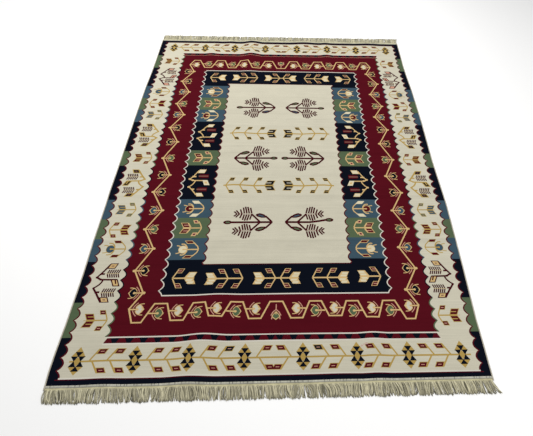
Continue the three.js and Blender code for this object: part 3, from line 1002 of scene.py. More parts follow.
class Shader:
    """A node tree under construction, with short ways to add and join its nodes."""

    def __init__(self, tree: bpy.types.NodeTree) -> None:
        """Takes an empty node tree."""
        self.tree = tree

    def node(self, kind: str, **settings: object) -> bpy.types.Node:
        """Adds a node and sets its own options.

        Args:
            kind: Blender's name for it.
            settings: its options by name.
        Returns:
            The node.
        """
        made = self.tree.nodes.new(kind)
        for name, value in settings.items():
            setattr(made, name, value)
        return made

    def join(self, source: bpy.types.NodeSocket, target: bpy.types.NodeSocket) -> None:
        """Links an output to an input."""
        self.tree.links.new(source, target)

    def maths(self, operation: str, *terms: bpy.types.NodeSocket | float) -> bpy.types.NodeSocket:
        """Adds one sum.

        Args:
            operation: the name of Blender's operation.
            terms: sockets to link, or numbers to set.
        Returns:
            The result's socket.
        """
        made = self.node("ShaderNodeMath", operation=operation)
        for term, target in zip(terms, made.inputs):
            if isinstance(term, bpy.types.NodeSocket):
                self.join(term, target)
            else:
                target.default_value = term
        return made.outputs[0]

    def wave(self, turns: bpy.types.NodeSocket) -> bpy.types.NodeSocket:
        """Adds the absolute sine of half turns: 0 at each whole number, and 1 between them."""
        return self.maths("ABSOLUTE", self.maths("SINE", self.maths("MULTIPLY", turns, math.pi)))

    def noise(self, vector: bpy.types.NodeSocket, stretch: tuple[float, float, float],
              detail: float = 2.0) -> bpy.types.NodeSocket:
        """Adds a noise over stretched coordinates.

        Args:
            vector: the coordinates.
            stretch: how many features to a metre on each axis.
            detail: finer layers in it.
        Returns:
            The socket of its value, about 0.5 on average.
        """
        scaled = self.node("ShaderNodeVectorMath", operation="MULTIPLY")
        self.join(vector, scaled.inputs[0])
        scaled.inputs[1].default_value = stretch
        made = self.node("ShaderNodeTexNoise")
        self.join(scaled.outputs[0], made.inputs["Vector"])
        made.inputs["Scale"].default_value = 1.0
        made.inputs["Detail"].default_value = detail
        return made.outputs["Fac"]


def new_group(name: str, vectors: Sequence[str], numbers: Sequence[str]
              ) -> tuple[bpy.types.NodeTree, Shader, bpy.types.Node, bpy.types.Node]:
    """Makes an empty shader group that puts out a shade and a height.

    Args:
        name: the group's name.
        vectors, numbers: names of its inputs.
    Returns:
        The group, its shader, and its input and output nodes.
    """
    group = bpy.data.node_groups.new(name, "ShaderNodeTree")
    for names, direction, kind in ((vectors, "INPUT", "NodeSocketVector"),
                                   (numbers, "INPUT", "NodeSocketFloat"),
                                   (("Shade", "Height"), "OUTPUT", "NodeSocketFloat")):
        for socket in names:
            group.interface.new_socket(socket, in_out=direction, socket_type=kind)
    shader = Shader(group)
    return group, shader, shader.node("NodeGroupInput"), shader.node("NodeGroupOutput")


def weave_group() -> bpy.types.NodeTree:
    """Makes the shader group of a flat weave: ribs over hidden warps, weft passes, uneven yarn.

    A rib is the absolute sine of x. A pass is one of y that changes side from rib to rib. Streaks
    are noises drawn out along the weft. The shade is painted darker in the grooves, by the height.

    Returns:
        The group.
    """
    group, s, given, result = new_group("Flat weave", ("Coordinates",), ("Rib", "Pass", "Streaks", "Fuzz"))
    place = s.node("ShaderNodeSeparateXYZ")
    s.join(given.outputs["Coordinates"], place.inputs[0])
    turn = s.maths("DIVIDE", place.outputs["X"], given.outputs["Rib"])
    rib = s.wave(turn)
    row = s.maths("DIVIDE", place.outputs["Y"], given.outputs["Pass"])
    shifted = s.maths("ADD", row, s.maths("MULTIPLY", s.maths("FLOOR", turn), 0.5))
    bead = s.wave(shifted)
    height = s.maths("MULTIPLY", s.maths("POWER", rib, 0.6), s.maths("MULTIPLY_ADD", bead, 0.45, 0.55))
    where = given.outputs["Coordinates"]
    thread = s.noise(where, (6.0, 420.0, 1.0), 1.0)
    streak = s.noise(where, (2.2, 150.0, 1.0), 2.0)
    dye_lot = s.noise(where, (0.5, 17.0, 1.0), 2.0)
    cloud = s.noise(where, (9.0, 9.0, 1.0), 2.0)
    fuzz = s.noise(where, (900.0, 900.0, 900.0), 1.0)
    lines = s.maths("MULTIPLY_ADD", thread, 0.45, s.maths("MULTIPLY", streak, 0.5))
    broad = s.maths("MULTIPLY_ADD", dye_lot, 0.35, s.maths("MULTIPLY", cloud, 0.28))
    uneven = s.maths("SUBTRACT", s.maths("ADD", lines, broad), 0.79)
    shade = s.maths("MULTIPLY_ADD", uneven, given.outputs["Streaks"], 0.93)
    shade = s.maths("MULTIPLY_ADD", s.maths("SUBTRACT", fuzz, 0.5), given.outputs["Fuzz"], shade)
    # Painted shade: the ribs' grooves and the dips between beads darker, their crests lighter
    s.join(s.maths("MULTIPLY_ADD", height, 0.1, shade), result.inputs["Shade"])
    s.join(s.maths("MULTIPLY_ADD", fuzz, 0.35, height), result.inputs["Height"])
    return group


def twist_group() -> bpy.types.NodeTree:
    """Makes the shader group of a plied yarn: strands that wind round it, and single hairs.

    The plies are the absolute sine of the turns round the yarn, times their number, added to the
    length along it over the lay of the twist. The shade is painted darker between the plies.

    Returns:
        The group.
    """
    group, s, given, result = new_group("Plied yarn", ("Map", "Coordinates"), ("Lay", "Plies"))
    place = s.node("ShaderNodeSeparateXYZ")
    s.join(given.outputs["Map"], place.inputs[0])
    along = s.maths("DIVIDE", place.outputs["Y"], given.outputs["Lay"])
    turns = s.maths("MULTIPLY_ADD", place.outputs["X"], given.outputs["Plies"], along)
    ply = s.wave(turns)
    hairs = s.noise(given.outputs["Coordinates"], (700.0, 700.0, 700.0), 2.0)
    lot = s.noise(given.outputs["Coordinates"], (60.0, 60.0, 60.0), 2.0)
    # Painted shade: darker between the plies, lighter on their crowns
    shade = s.maths("MULTIPLY_ADD", s.maths("POWER", ply, 0.7), 0.3, 0.72)
    shade = s.maths("MULTIPLY_ADD", s.maths("SUBTRACT", lot, 0.5), 0.5, shade)
    shade = s.maths("MULTIPLY_ADD", s.maths("SUBTRACT", hairs, 0.5), 0.3, shade)
    s.join(shade, result.inputs["Shade"])
    s.join(s.maths("MULTIPLY_ADD", hairs, 0.4, ply), result.inputs["Height"])
    return group


@dataclass(frozen=True)
class Finish:
    """What every wool or cotton finish of the rug has: a rough surface with a short soft nap."""

    name: str
    roughness: float
    sheen: float
    bump: float
    specular: float = 0.01
    sheen_roughness: float = 0.6
    bump_strength: float = 0.8

    def settings(self) -> dict[str, float]:
        """The numbers that this finish gives to its group's inputs."""
        return {}

    def build(self, group: bpy.types.NodeTree) -> bpy.types.Material:
        """Makes the material: the mesh's dyes, with their painted shade, times the group's shade, with the
        group's height as bump.

        Args:
            group: the shader group of its weave or twist.
        Returns:
            The material.
        """
        material = bpy.data.materials.new(self.name)
        material.use_nodes = True
        material.node_tree.nodes.clear()
        s = Shader(material.node_tree)
        wool = s.node("ShaderNodeGroup", node_tree=group)
        s.join(s.node("ShaderNodeTexCoord").outputs["Object"], wool.inputs["Coordinates"])
        if "Map" in wool.inputs:
            s.join(s.node("ShaderNodeUVMap", uv_map="Twist").outputs["UV"], wool.inputs["Map"])
        dyed = s.node("ShaderNodeVectorMath", operation="SCALE")
        # The dye attribute holds the yarn colours with the shade painted into them
        s.join(s.node("ShaderNodeAttribute", attribute_name="dye").outputs["Color"], dyed.inputs[0])
        s.join(wool.outputs["Shade"], dyed.inputs["Scale"])
        bump = s.node("ShaderNodeBump")
        s.join(wool.outputs["Height"], bump.inputs["Height"])
        surface = s.node("ShaderNodeBsdfPrincipled")
        s.join(dyed.outputs[0], surface.inputs["Base Color"])
        s.join(bump.outputs["Normal"], surface.inputs["Normal"])
        s.join(surface.outputs["BSDF"], s.node("ShaderNodeOutputMaterial").inputs["Surface"])
        nap = {"Roughness": self.roughness, "Specular IOR Level": self.specular,
               "Sheen Weight": self.sheen, "Sheen Roughness": self.sheen_roughness}
        relief = {"Strength": self.bump_strength, "Distance": self.bump * MM}
        for node, numbers in ((wool, self.settings()), (bump, relief), (surface, nap)):
            for socket, number in numbers.items():
                node.inputs[socket].default_value = number
        return material


@dataclass(frozen=True)
class WovenWool(Finish):
    """The body's finish: dyed wool in a flat weave, coloured by the mesh's own dyes and the shade painted
    into them.
    """

    rib: float = 2.9
    weft_pass: float = 1.3
    streaks: float = 0.42
    fuzz: float = 0.12

    def settings(self) -> dict[str, float]:
        """The numbers for the weave group, with lengths in metres."""
        return {"Rib": self.rib * MM, "Pass": self.weft_pass * MM, "Streaks": self.streaks, "Fuzz": self.fuzz}


@dataclass(frozen=True)
class Yarn(Finish):
    """The finish of a twisted yarn or cord, coloured by its mesh's own dyes and, on the fringes and headings,
    the shade painted into them.
    """

    lay: float = 5.0
    plies: float = 2.0

    def settings(self) -> dict[str, float]:
        """The numbers for the twist group, with its lay in metres."""
        return {"Lay": self.lay * MM, "Plies": self.plies}


def new_piece(name: str, points: np.ndarray, faces: np.ndarray, material: bpy.types.Material
              ) -> bpy.types.Object:
    """Puts points and equal-sided faces into a mesh object at the origin.

    Args:
        name: the piece's name.
        points: corners in the frame, in metres.
        faces: rows of corner numbers, counter-clockwise from outside.
        material: its finish.
    Returns:
        The object, linked to the scene.
    """
    mesh = bpy.data.meshes.new(name)
    mesh.from_pydata(points.tolist(), [], faces.tolist())
    mesh.update()
    mesh.materials.append(material)
    piece = bpy.data.objects.new(name, mesh)
    bpy.context.scene.collection.objects.link(piece)
    return piece


@dataclass
class WovenBody:
    """The flat-woven body: one closed sheet, dyed through, so that its back shows the same pattern.

    The relief grid carries its shape where it lies more than a hair off the floor, and the open one
    elsewhere. Its map lays the face and the back side by side.
    """

    lay: Lay
    chart: Chart
    thickness: float = 3.0
    relief_step: float = 16.0
    open_step: float = 60.0
    open_shift: float = 3.1
    edge_step: float = 30.0
    off_floor: float = 0.05
    outline_off_floor: float = 0.02
    beside_fold: tuple[float, ...] = (-20, -8, 0, 8, 20)
    # Painted shade in the dyes: the middle darker than the sides, and a dark line along each fold line
    middle_shade: float = 0.05
    middle_shade_mean: float = 0.45
    fold_shade: float = 0.06
    fold_shade_width: float = 16.0
    map_margin: float = 20.0
    map_gap: float = 60.0

    def charted_lift(self, points: np.ndarray) -> np.ndarray:
        """The cloth's height at rows of x and y on the chart."""
        x, y = points[:, 0], points[:, 1]
        return self.lay.lift(x, self.lay.rowed(x, y))

    def grid(self, step: float) -> np.ndarray:
        """Rows of x and y, a step apart each way, inside the body's edges."""
        return np.stack(np.meshgrid(np.arange(step, BODY_WIDTH, step), np.arange(step, BODY_LENGTH, step)),
                        axis=-1).reshape(-1, 2)

    def relief_points(self) -> np.ndarray:
        """Points that carry the cloth's shape: a fine grid where it rises, rows along the fold lines,
        a wide grid elsewhere, and stations along the edges.

        Returns:
            Rows of x and y.
        """
        fine = self.grid(self.relief_step)
        across = np.arange(self.relief_step, BODY_WIDTH - 1, self.relief_step)
        fold_y = [fold.from_near + away for fold in FOLD_LINES for away in self.beside_fold]
        x, y = (each.ravel() for each in np.meshgrid(across, fold_y))
        folds = np.stack([x, 2 * y - self.lay.rowed(x, y)], axis=1)
        near = np.stack([across, np.zeros_like(across)], axis=1)
        side = np.arange(self.edge_step, BODY_LENGTH, self.edge_step)
        left = np.stack([np.zeros_like(side), side], axis=1)
        return np.vstack([fine[self.charted_lift(fine) > self.off_floor], folds,
                          self.grid(self.open_step) + self.open_shift, near, near + (0, BODY_LENGTH), left,
                          left + (BODY_WIDTH, 0)])

    def stepped(self, outline: np.ndarray) -> np.ndarray:
        """Adds points to an outline where it crosses rising cloth, so that it follows the height.

        Args:
            outline: the corners in order.
        Returns:
            The corners, with points between them no further apart than the relief grid's.
        """
        run = np.roll(outline, -1, axis=0) - outline
        parts = np.ceil(np.linalg.norm(run, axis=1) / self.relief_step).astype(int)
        first = np.repeat(np.cumsum(parts) - parts, parts)
        share = (np.arange(parts.sum()) - first) / np.repeat(parts, parts)
        points = np.repeat(outline, parts, axis=0) + share[:, None] * np.repeat(run, parts, axis=0)
        return points[(share == 0) | (self.charted_lift(points) > self.outline_off_floor)]

    def cut(self) -> tuple[np.ndarray, np.ndarray, np.ndarray]:
        """Cuts the body into triangles along every edge of the pattern.

        Returns:
            The points' x and y, rows of three corners, and each triangle's dye number.
        """
        corners = [self.stepped(outline) for outline, _ in self.chart.patches]
        sizes = np.array([len(ring) for ring in corners])
        rings = [first + np.stack([np.arange(size), np.roll(np.arange(size), -1)], axis=1)
                 for first, size in zip(np.cumsum(sizes) - sizes, sizes)]
        flat = np.clip(np.vstack(corners + [self.relief_points()]), 0, (BODY_WIDTH, BODY_LENGTH))
        closest = 0.01
        places, _, triangles, _, _, _ = delaunay_2d_cdt(
            [Vector(place) for place in flat], np.concatenate(rings).tolist(), [], 0, closest, False)
        places, triangles = np.array(places), np.array(triangles)
        middles = places[triangles].mean(axis=1)
        dyes = np.zeros(len(triangles), np.int32)
        for outline, dye in self.chart.patches:
            dyes[covered(outline, middles)] = DYES.index(dye)
        return places, triangles, dyes

    def upward(self, x: np.ndarray, y: np.ndarray) -> np.ndarray:
        """Upward normals of the cloth, from the slopes of its height over two millimetres.

        Args:
            x, y: places on the body.
        Returns:
            Rows of x, y, z, of length 1.
        """
        slope_x = (self.lay.lift(x + 1, y) - self.lay.lift(x - 1, y)) / 2
        slope_y = (self.lay.lift(x, y + 1) - self.lay.lift(x, y - 1)) / 2
        normals = np.stack([-slope_x, -slope_y, np.ones_like(x)], axis=1)
        return normals / np.linalg.norm(normals, axis=1, keepdims=True)

    def painted_shade(self, x: np.ndarray, y: np.ndarray) -> np.ndarray:
        """Painted shade on the dyes: darker along the middle than at the sides, as x squared, and darker
        along the lines where it was folded, by a hump across each.

        Args:
            x, y: places on the body.
        Returns:
            Factors for the dyes, about 1.
        """
        folds = np.max([hump(y - fold.from_near, self.fold_shade_width) for fold in FOLD_LINES], axis=0)
        return 1 + self.middle_shade * ((x / CENTRE_X - 1) ** 2 - self.middle_shade_mean) - self.fold_shade * folds

    def build(self, material: bpy.types.Material) -> bpy.types.Object:
        """Makes the sheet: the cut pattern on top, the same below it, and a wall round the edge.

        The wall stands under the triangle edges that occur only once, and is as dyed as the
        triangle above it.

        Args:
            material: the woven finish.
        Returns:
            The piece.
        """
        flat, triangles, dyes = self.cut()
        x, count = flat[:, 0], len(flat)
        y = self.lay.rowed(x, flat[:, 1])
        under = np.stack([self.lay.bowed(x, y), y, self.lay.lift(x, y)], axis=1)
        points = self.lay.placed(np.vstack([under + (0, 0, self.thickness), under]))
        edges = np.vstack([triangles[:, [0, 1]], triangles[:, [1, 2]], triangles[:, [2, 0]]])
        _, first, times = np.unique(np.sort(edges, axis=1), axis=0, return_index=True, return_counts=True)
        rim = first[times == 1]
        rim_dyes = np.tile(dyes, 3)[rim]
        a, b = edges[rim].T
        walls = np.vstack([np.stack([b, a, a + count], 1), np.stack([b, a + count, b + count], 1)])
        faces = np.vstack([triangles, triangles[:, ::-1] + count, walls])
        corner = faces.ravel()
        piece = new_piece("woven_body", points, faces, material)
        piece.data.polygons.foreach_set("use_smooth", np.ones(len(faces), bool))
        colours = np.array([albedo(dye.value) for dye in DYES])
        dyed = np.repeat(colours[np.concatenate([dyes, dyes, rim_dyes, rim_dyes])], 3, axis=0)
        # Painted shade: the middle darker than the sides and dark lines along the folds, on face and back
        dyed[:, :3] *= np.tile(self.painted_shade(x, y), 2)[corner][:, None]
        layer = piece.data.color_attributes.new("dye", "FLOAT_COLOR", "CORNER")
        layer.data.foreach_set("color", dyed.ravel())
        run = points[b] - points[a]
        outward = np.stack([run[:, 1], -run[:, 0], np.zeros(len(run))], axis=1)
        outward /= np.linalg.norm(outward, axis=1, keepdims=True)
        outward = np.repeat(np.vstack([outward, outward]), 3, axis=0)
        up = self.upward(x, y)
        normals = np.vstack([up, -up])[corner]
        normals[-len(outward):] = outward
        piece.data.normals_split_custom_set(normals.tolist())
        self.map_faces(piece.data, flat, corner, outward)
        return piece

    def map_faces(self, mesh: bpy.types.Mesh, flat: np.ndarray, corner: np.ndarray, outward: np.ndarray
                  ) -> None:
        """Lays the face and the back out side by side, with the walls turned outward round the face.

        Args:
            mesh: the sheet's mesh.
            flat: x and y of the points on one face.
            corner: each face corner's point number.
            outward: the walls' directions, at their corners, which come last.
        """
        laid = (np.vstack([flat, flat + (BODY_WIDTH + self.map_gap, 0)]) + self.map_margin)[corner]
        wall = corner[-len(outward):]
        below = (wall >= len(flat))[:, None]
        laid[-len(outward):] = (flat[wall % len(flat)] + self.map_margin
                                + outward[:, :2] * self.thickness * below)
        span = 2 * (BODY_WIDTH + self.map_margin) + self.map_gap
        layer = mesh.uv_layers.new(name="OFBake")
        layer.data.foreach_set("uv", (laid / span).ravel())


def tubes(lines: np.ndarray, radii: np.ndarray, sides: int, flatness: float = 1.0
          ) -> tuple[np.ndarray, np.ndarray, np.ndarray]:
    """Carries a round profile along many paths at once and closes both ends of each with a cap point.

    Each ring is the path's point plus the radius times the cosine of the turn across the path and
    the sine of the turn up from it. A cap point stands out by a share of the radius.

    Args:
        lines: paths, an array of path, step and x, y, z.
        radii: the radius at each step of each path.
        sides: corners of the profile.
        flatness: height of the profile against its width.
    Returns:
        Points, triangles, and the map's turn and length for each point.
    """
    first_cap, last_cap = 0.4, 0.8
    paths, steps, _ = lines.shape
    run = np.gradient(lines, axis=1)
    run /= np.linalg.norm(run, axis=2, keepdims=True)
    across = np.cross(run, (0.0, 0.0, 1.0))
    across /= np.linalg.norm(across, axis=2, keepdims=True)
    upward = np.cross(across, run)
    turn = np.linspace(0, 2 * math.pi, sides, endpoint=False)
    cosine, sine = np.cos(turn)[:, None], flatness * np.sin(turn)[:, None]
    ring = lines[:, :, None] + radii[:, :, None, None] * (cosine * across[:, :, None]
                                                          + sine * upward[:, :, None])
    first = lines[:, 0] - run[:, 0] * radii[:, :1] * first_cap
    last = lines[:, -1] + run[:, -1] * radii[:, -1:] * last_cap
    points = np.concatenate([ring.reshape(paths, -1, 3), first[:, None], last[:, None]], axis=1)
    per = steps * sides + 2
    k = np.arange(sides)
    after = (k + 1) % sides
    rows = np.arange(steps - 1)[:, None] * sides
    walls = np.stack([rows + k, rows + after, rows + sides + after, rows + sides + k], -1).reshape(-1, 4)
    top = (steps - 1) * sides
    caps = np.vstack([np.stack([after, k, np.full(sides, per - 2)], -1),
                      np.stack([top + k, top + after, np.full(sides, per - 1)], -1)])
    tris = np.vstack([walls[:, [0, 1, 2]], walls[:, [0, 2, 3]], caps])
    faces = (tris[None] + np.arange(paths)[:, None, None] * per).reshape(-1, 3)
    pieces = np.linalg.norm(np.diff(lines, axis=1), axis=2)
    length = np.concatenate([np.zeros((paths, 1)), np.cumsum(pieces, axis=1)], axis=1)
    around = np.broadcast_to(turn / (2 * math.pi), (paths, steps, sides))
    along = np.broadcast_to(length[:, :, None], (paths, steps, sides))
    cap_twist = np.stack([np.full((paths, 2), 0.5), length[:, [0, -1]]], axis=-1)
    twist = np.concatenate([np.stack([around, along], -1).reshape(paths, -1, 2), cap_twist], axis=1)
    return points.reshape(-1, 3), faces, twist.reshape(-1, 2)


def map_twist(mesh: bpy.types.Mesh, twist: np.ndarray, colours: np.ndarray) -> None:
    """Gives a yarn its map round and along, and its colours. In a triangle that spans the seam, the
    corners just past it gain a whole turn.

    Args:
        mesh: the yarn's mesh, of triangles.
        twist: turn and length for each point.
        colours: a colour for each point.
    """
    corner = np.zeros(len(mesh.loops), np.int32)
    mesh.loops.foreach_get("vertex_index", corner)
    uv = twist[corner].reshape(-1, 3, 2)
    turn = uv[:, :, 0]
    spans = np.ptp(turn, axis=1, keepdims=True) > 0.6
    turn += spans & (turn < 0.4)
    layer = mesh.uv_layers.new(name="Twist")
    layer.data.foreach_set("uv", uv.astype(np.float32).ravel())
    dyes = mesh.color_attributes.new("dye", "FLOAT_COLOR", "POINT")
    dyes.data.foreach_set("color", colours.astype(np.float32).ravel())
    mesh.polygons.foreach_set("use_smooth", np.ones(len(mesh.polygons), bool))


@dataclass
class SideCord:
    """The cord overcast along one long side, a little past both ends."""

    lay: Lay
    right: bool
    width: float = 6.0
    height: float = 5.0
    past: float = 20.0
    gap: float = 0.6
    step: float = 4.0
    sides: int = 10
    bead: float = 0.05
    beads: float = 2.4
    hollow: Look = (190, 182, 165)
    crown: Look = (208, 200, 182)

    def build(self, material: bpy.types.Material) -> bpy.types.Object:
        """Makes the cord: an oval profile along the side, beaded where the thread wraps it by a sine
        of its length, and lighter and darker by the product of two slower ones.

        Args:
            material: the thread's finish.
        Returns:
            The piece.
        """
        y = np.arange(-self.past, BODY_LENGTH + self.past + 0.1, self.step)
        out = self.width / 2 + self.gap
        if self.right:
            x = BODY_WIDTH + np.interp(y, SIDE_BOW_AT, SIDE_BOW_RIGHT) + out
        else:
            x = np.interp(y, SIDE_BOW_AT, SIDE_BOW_LEFT) - out
        line = self.lay.placed(np.stack([x, y, np.full_like(y, self.height / 2)], axis=1))[None]
        radii = (self.width / 2 * MM * (1 + self.bead * np.sin(y * self.beads)))[None]
        points, faces, twist = tubes(line, radii, self.sides, self.height / self.width)
        piece = new_piece("side_cord_right" if self.right else "side_cord_left", points, faces, material)
        share = 0.7 + 0.3 * np.sin(points[:, 1] * 40) * np.sin(points[:, 1] * 93 + 1)
        map_twist(piece.data, twist, blend(self.hollow, self.crown, share))
        return piece


@dataclass(frozen=True)
class FringeEnd:
    """What differs between the two ends' fringes.

    The reach is a yarn's length. The yarns lean to the right by the lean plus a sine of the swing
    over the pitch, and at the left and right corner by the splay too. The lap is how far the dark
    last rows cover the tape. Each slit is a place along the end and how far the yarns part there.
    """

    name: str
    far: bool
    reach: float
    lean: float
    lean_swing: float
    lean_pitch: float
    splay: Place
    seed: int
    tape: Look
    ridge: Look
    lap: float
    slits: tuple[Place, ...] = ()


NEAR_FRINGE = FringeEnd("near", False, 54.5, 8, 6, 290, (0, 26), 11, (206, 204, 188), (207, 200, 160), 0,
                        ((300, 3), (455, 6), (753, 7.5), (954, 6), (1133, 5), (1194, 5), (1520, 3), (1802, 4),
                         (1970, 1)))
FAR_FRINGE = FringeEnd("far", True, 67, 2, 3, 410, (-9, 10), 23, (206, 207, 190), (220, 214, 181), 6.5)
# The heading's section: distances out from the cloth, with their heights
HEADING = ((0.3, 0.0), (0.3, 2.4), (3, 2.6), (6, 2.6), (8.5, 2.2), (10.5, 1.2), (13, 2.4), (15.5, 3.4),
           (17.5, 4.6), (19.5, 5.4), (21.5, 5.4), (23.5, 4.5), (25.5, 2.2), (25.5, 0.0))


@dataclass
class Fringe:
    """One end's heading tape with its row of chain stitch, and the yarns that hang from it.

    Spreads are in millimetres, standard or to either side. Those of the lean and of the bow are a
    clump's and then a single yarn's.
    """

    lay: Lay
    end: FringeEnd
    station: float = 1.6
    groove_at: float = 10.5
    groove_width: float = 3.4
    stitch: float = 6.5
    tick_pitch: float = 15.0
    tick_width: float = 2.9
    tick_spread: float = 4.5
    settling: float = 60.0
    layers: tuple[int, int] = (560, 400)
    yarn_width: float = 4.4
    yarn_sides: int = 6
    steps: int = 8
    root_at: float = 21.0
    root_spread: float = 1.8
    past_reach: float = 4.5
    reach_spread: float = 2.4
    clump_gaps: Place = (10, 34)
    clump_pull: float = 0.16
    lean_spreads: Place = (5.5, 2.6)
    bow_spreads: Place = (6, 1.4)
    waver: float = 2.2
    tip_spread: float = 2.6
    corner: float = 130.0
    slit_reach: float = 18.0
    tick: Look = (30, 30, 36)
    # The lower layer's yarns lean to the dark look and the upper's to the light one: painted shade on the
    # lower layer
    dark: Look = (98, 94, 74)
    light: Look = (238, 231, 196)

    def outward(self, out: np.ndarray) -> np.ndarray:
        """Body y of a distance out from the end's edge."""
        return BODY_LENGTH + out if self.end.far else -out

    def rise(self, x: np.ndarray, out: np.ndarray) -> np.ndarray:
        """How high the rippled edge still lifts the fringe at a distance out: eased to nothing."""
        return self.lay.end_lift(x, self.end.far)[:, None] * (1 - ease((out - 1) / self.settling))

    def build_heading(self, material: bpy.types.Material) -> bpy.types.Object:
        """Makes the heading: a flat whitish tape crossed by dark threads, then a raised yellowish row
        of stitches, closed below.

        Its section is a few heights above the floor, and each stitch swells the row as a rectified
        sine along it.

        Args:
            material: the finish.
        Returns:
            The piece.
        """
        x = np.arange(1.0, BODY_WIDTH, self.station)
        across, height = np.array(HEADING).T
        swell = np.abs(np.sin(np.pi * x / self.stitch))[:, None]
        ridge = np.clip((across - 14) / 3, 0, 1) * (height > 2.3)
        z = height * (1 - 0.2 * ridge * (1 - swell)) + self.rise(x, across)
        y = np.broadcast_to(self.outward(across), z.shape)
        points = self.lay.placed(np.stack([np.broadcast_to(x[:, None], z.shape), y, z], -1))
        rows, columns = z.shape
        i = np.arange(rows - 1)[:, None] * columns
        j = np.arange(columns)
        k = (j + 1) % columns
        walls = np.stack([i + j, i + k, i + columns + k, i + columns + j], -1).reshape(-1, 4)
        fan = np.arange(1, columns - 1)
        tris = np.vstack([walls[:, [0, 1, 2]], walls[:, [0, 2, 3]],
                          np.stack([np.zeros_like(fan), fan + 1, fan], -1),
                          np.stack([np.zeros_like(fan), fan, fan + 1], -1) + (rows - 1) * columns])
        if self.end.far:
            tris = tris[:, ::-1]
        piece = new_piece(f"heading_{self.end.name}", points.reshape(-1, 3), tris, material)
        round_it, along = np.broadcast_arrays(across / 8, x[:, None] * MM)
        twist = np.stack([round_it, along], axis=-1).reshape(-1, 2)
        map_twist(piece.data, twist, self.heading_colours(x, across).reshape(-1, 4))
        return piece

    def heading_colours(self, x: np.ndarray, across: np.ndarray) -> np.ndarray:
        """Colours the heading: whitish to the groove, yellowish beyond it, with painted shade in the groove,
        darker where the last rows lap over it, and with dark threads of uneven strengths that fade outward.

        Args:
            x: stations along the strip.
            across: distances out from the cloth.
        Returns:
            Colours of station by distance.
        """
        random = np.random.default_rng(self.end.seed + 1)
        colours = blend(self.end.tape, self.end.ridge, ease((across - self.groove_at) / 2))
        lap = 1 - ease((across + 1.5 - self.end.lap) / 1.5)
        # Painted shade in the groove between the tape and the row of stitches
        groove = 0.6 * hump(across - self.groove_at, self.groove_width)
        number = np.floor(x / self.tick_pitch).astype(int)
        strength = random.uniform(0.0, 1.0, number.max() + 1)[number]
        offset = random.uniform(-self.tick_spread, self.tick_spread, number.max() + 1)[number]
        away = x - (number + 0.5) * self.tick_pitch - offset
        tick = (strength * hump(away, self.tick_width))[:, None] * (1 - ease((across - 4) / 12))
        # Darkens by the threads, the lapping rows and the painted groove shade, whichever is strongest
        dark = np.maximum(np.maximum(tick, groove), lap)[..., None]
        lot = 1 + 0.06 * np.sin(x / 37.0) + 0.05 * np.sin(x / 11.3 + 2)
        return (colours * (1 - dark) + albedo(self.tick) * dark) * lot[:, None, None]

    def sway(self, root: np.ndarray, upper: np.ndarray, random: np.random.Generator
             ) -> tuple[np.ndarray, np.ndarray]:
        """How far each yarn strays to the right at its tip, and how much it bows on its way.

        Yarns of the upper layer are drawn to clumps, which lean and bow together. All lean as their
        end's do, more at the corners, and stand straight and aside at the slits.

        Args:
            root: where each yarn starts.
            upper: whether it is in the upper layer.
            random: the end's own random numbers.
        Returns:
            The strays and the bows.
        """
        count = len(root)
        clump_at = np.cumsum(random.uniform(*self.clump_gaps, 140))
        clump_at = clump_at[clump_at < BODY_WIDTH]
        clumps = len(clump_at)
        clump = np.abs(root[:, None] - clump_at).argmin(axis=1)
        pull = (clump_at[clump] - root) * random.uniform(0.0, self.clump_pull, count) * upper
        together, alone = self.lean_spreads
        own_way = random.normal(0, together, clumps)[clump] + random.normal(0, alone, count)
        lean = self.end.lean + self.end.lean_swing * np.sin(2 * np.pi * root / self.end.lean_pitch)
        lean += own_way * (0.2 + 0.8 * upper)
        at_left, at_right = (1 - ease(side / self.corner) for side in (root, BODY_WIDTH - root))
        lean += self.end.splay[0] * at_left**2 + self.end.splay[1] * at_right**2
        together, alone = self.bow_spreads
        bows = random.normal(0, together, clumps)[clump] * upper + random.normal(0, alone, count)
        for place, opening in self.end.slits:
            close = hump(root - place, self.slit_reach)
            lean += (self.end.lean - lean) * close
            bows *= 1 - close
            pull += np.sign(root - place) * opening * close
        return lean + pull, bows

    def build_yarns(self, material: bpy.types.Material) -> bpy.types.Object:
        """Makes the hanging yarns as two layers of plied strands that droop to the floor: a close one below,
        painted dark as the shade under the upper one, and a looser, lighter one on it whose strands cross.

        A strand's x runs from its root by its stray, its bow and a slow waver. Its height falls from
        the heading to its own radius above the floor, or above the layer below.

        Args:
            material: the finish.
        Returns:
            The piece.
        """
        random = np.random.default_rng(self.end.seed)
        count = sum(self.layers)
        root = np.concatenate([np.linspace(3, BODY_WIDTH - 3, number) for number in self.layers])
        root += random.uniform(-self.root_spread, self.root_spread, count)
        upper = np.arange(count) >= self.layers[0]
        stray, bows = self.sway(root, upper, random)
        reach = self.end.reach + random.normal(0, self.reach_spread, count)
        reach += 2 * np.sin(2 * np.pi * root / 97)
        t = np.linspace(0, 1, self.steps)
        each = (count, 1)
        waver = random.uniform(-self.waver, self.waver, each)
        waver = waver * np.sin(np.pi * 1.7 * t + random.uniform(0, 6.28, each))
        x = root[:, None] + stray[:, None] * t**1.15 + waver * t + bows[:, None] * np.sin(np.pi * t)
        x += random.normal(0, self.tip_spread, each) * ease(t * 3 - 2)
        out = self.root_at + (reach[:, None] + self.past_reach) * t
        above = upper[:, None]
        thinning = 1 - (0.1 + 0.32 * above) * ease(t * 2.5 - 1.5)
        radius = self.yarn_width / 2 * random.uniform(0.8, 1.12, each) * thinning
        rise = self.rise(root, out)
        rest = radius + 0.1 + above * (2.8 + random.uniform(-0.6, 1.0, each)) * (1 - 0.55 * t**2)
        z = rest + rise + (3.4 + rise - rest) * (1 - ease(t * 4)) * 0.5
        line = self.lay.placed(np.stack([x, np.broadcast_to(self.outward(out), x.shape), z], -1))
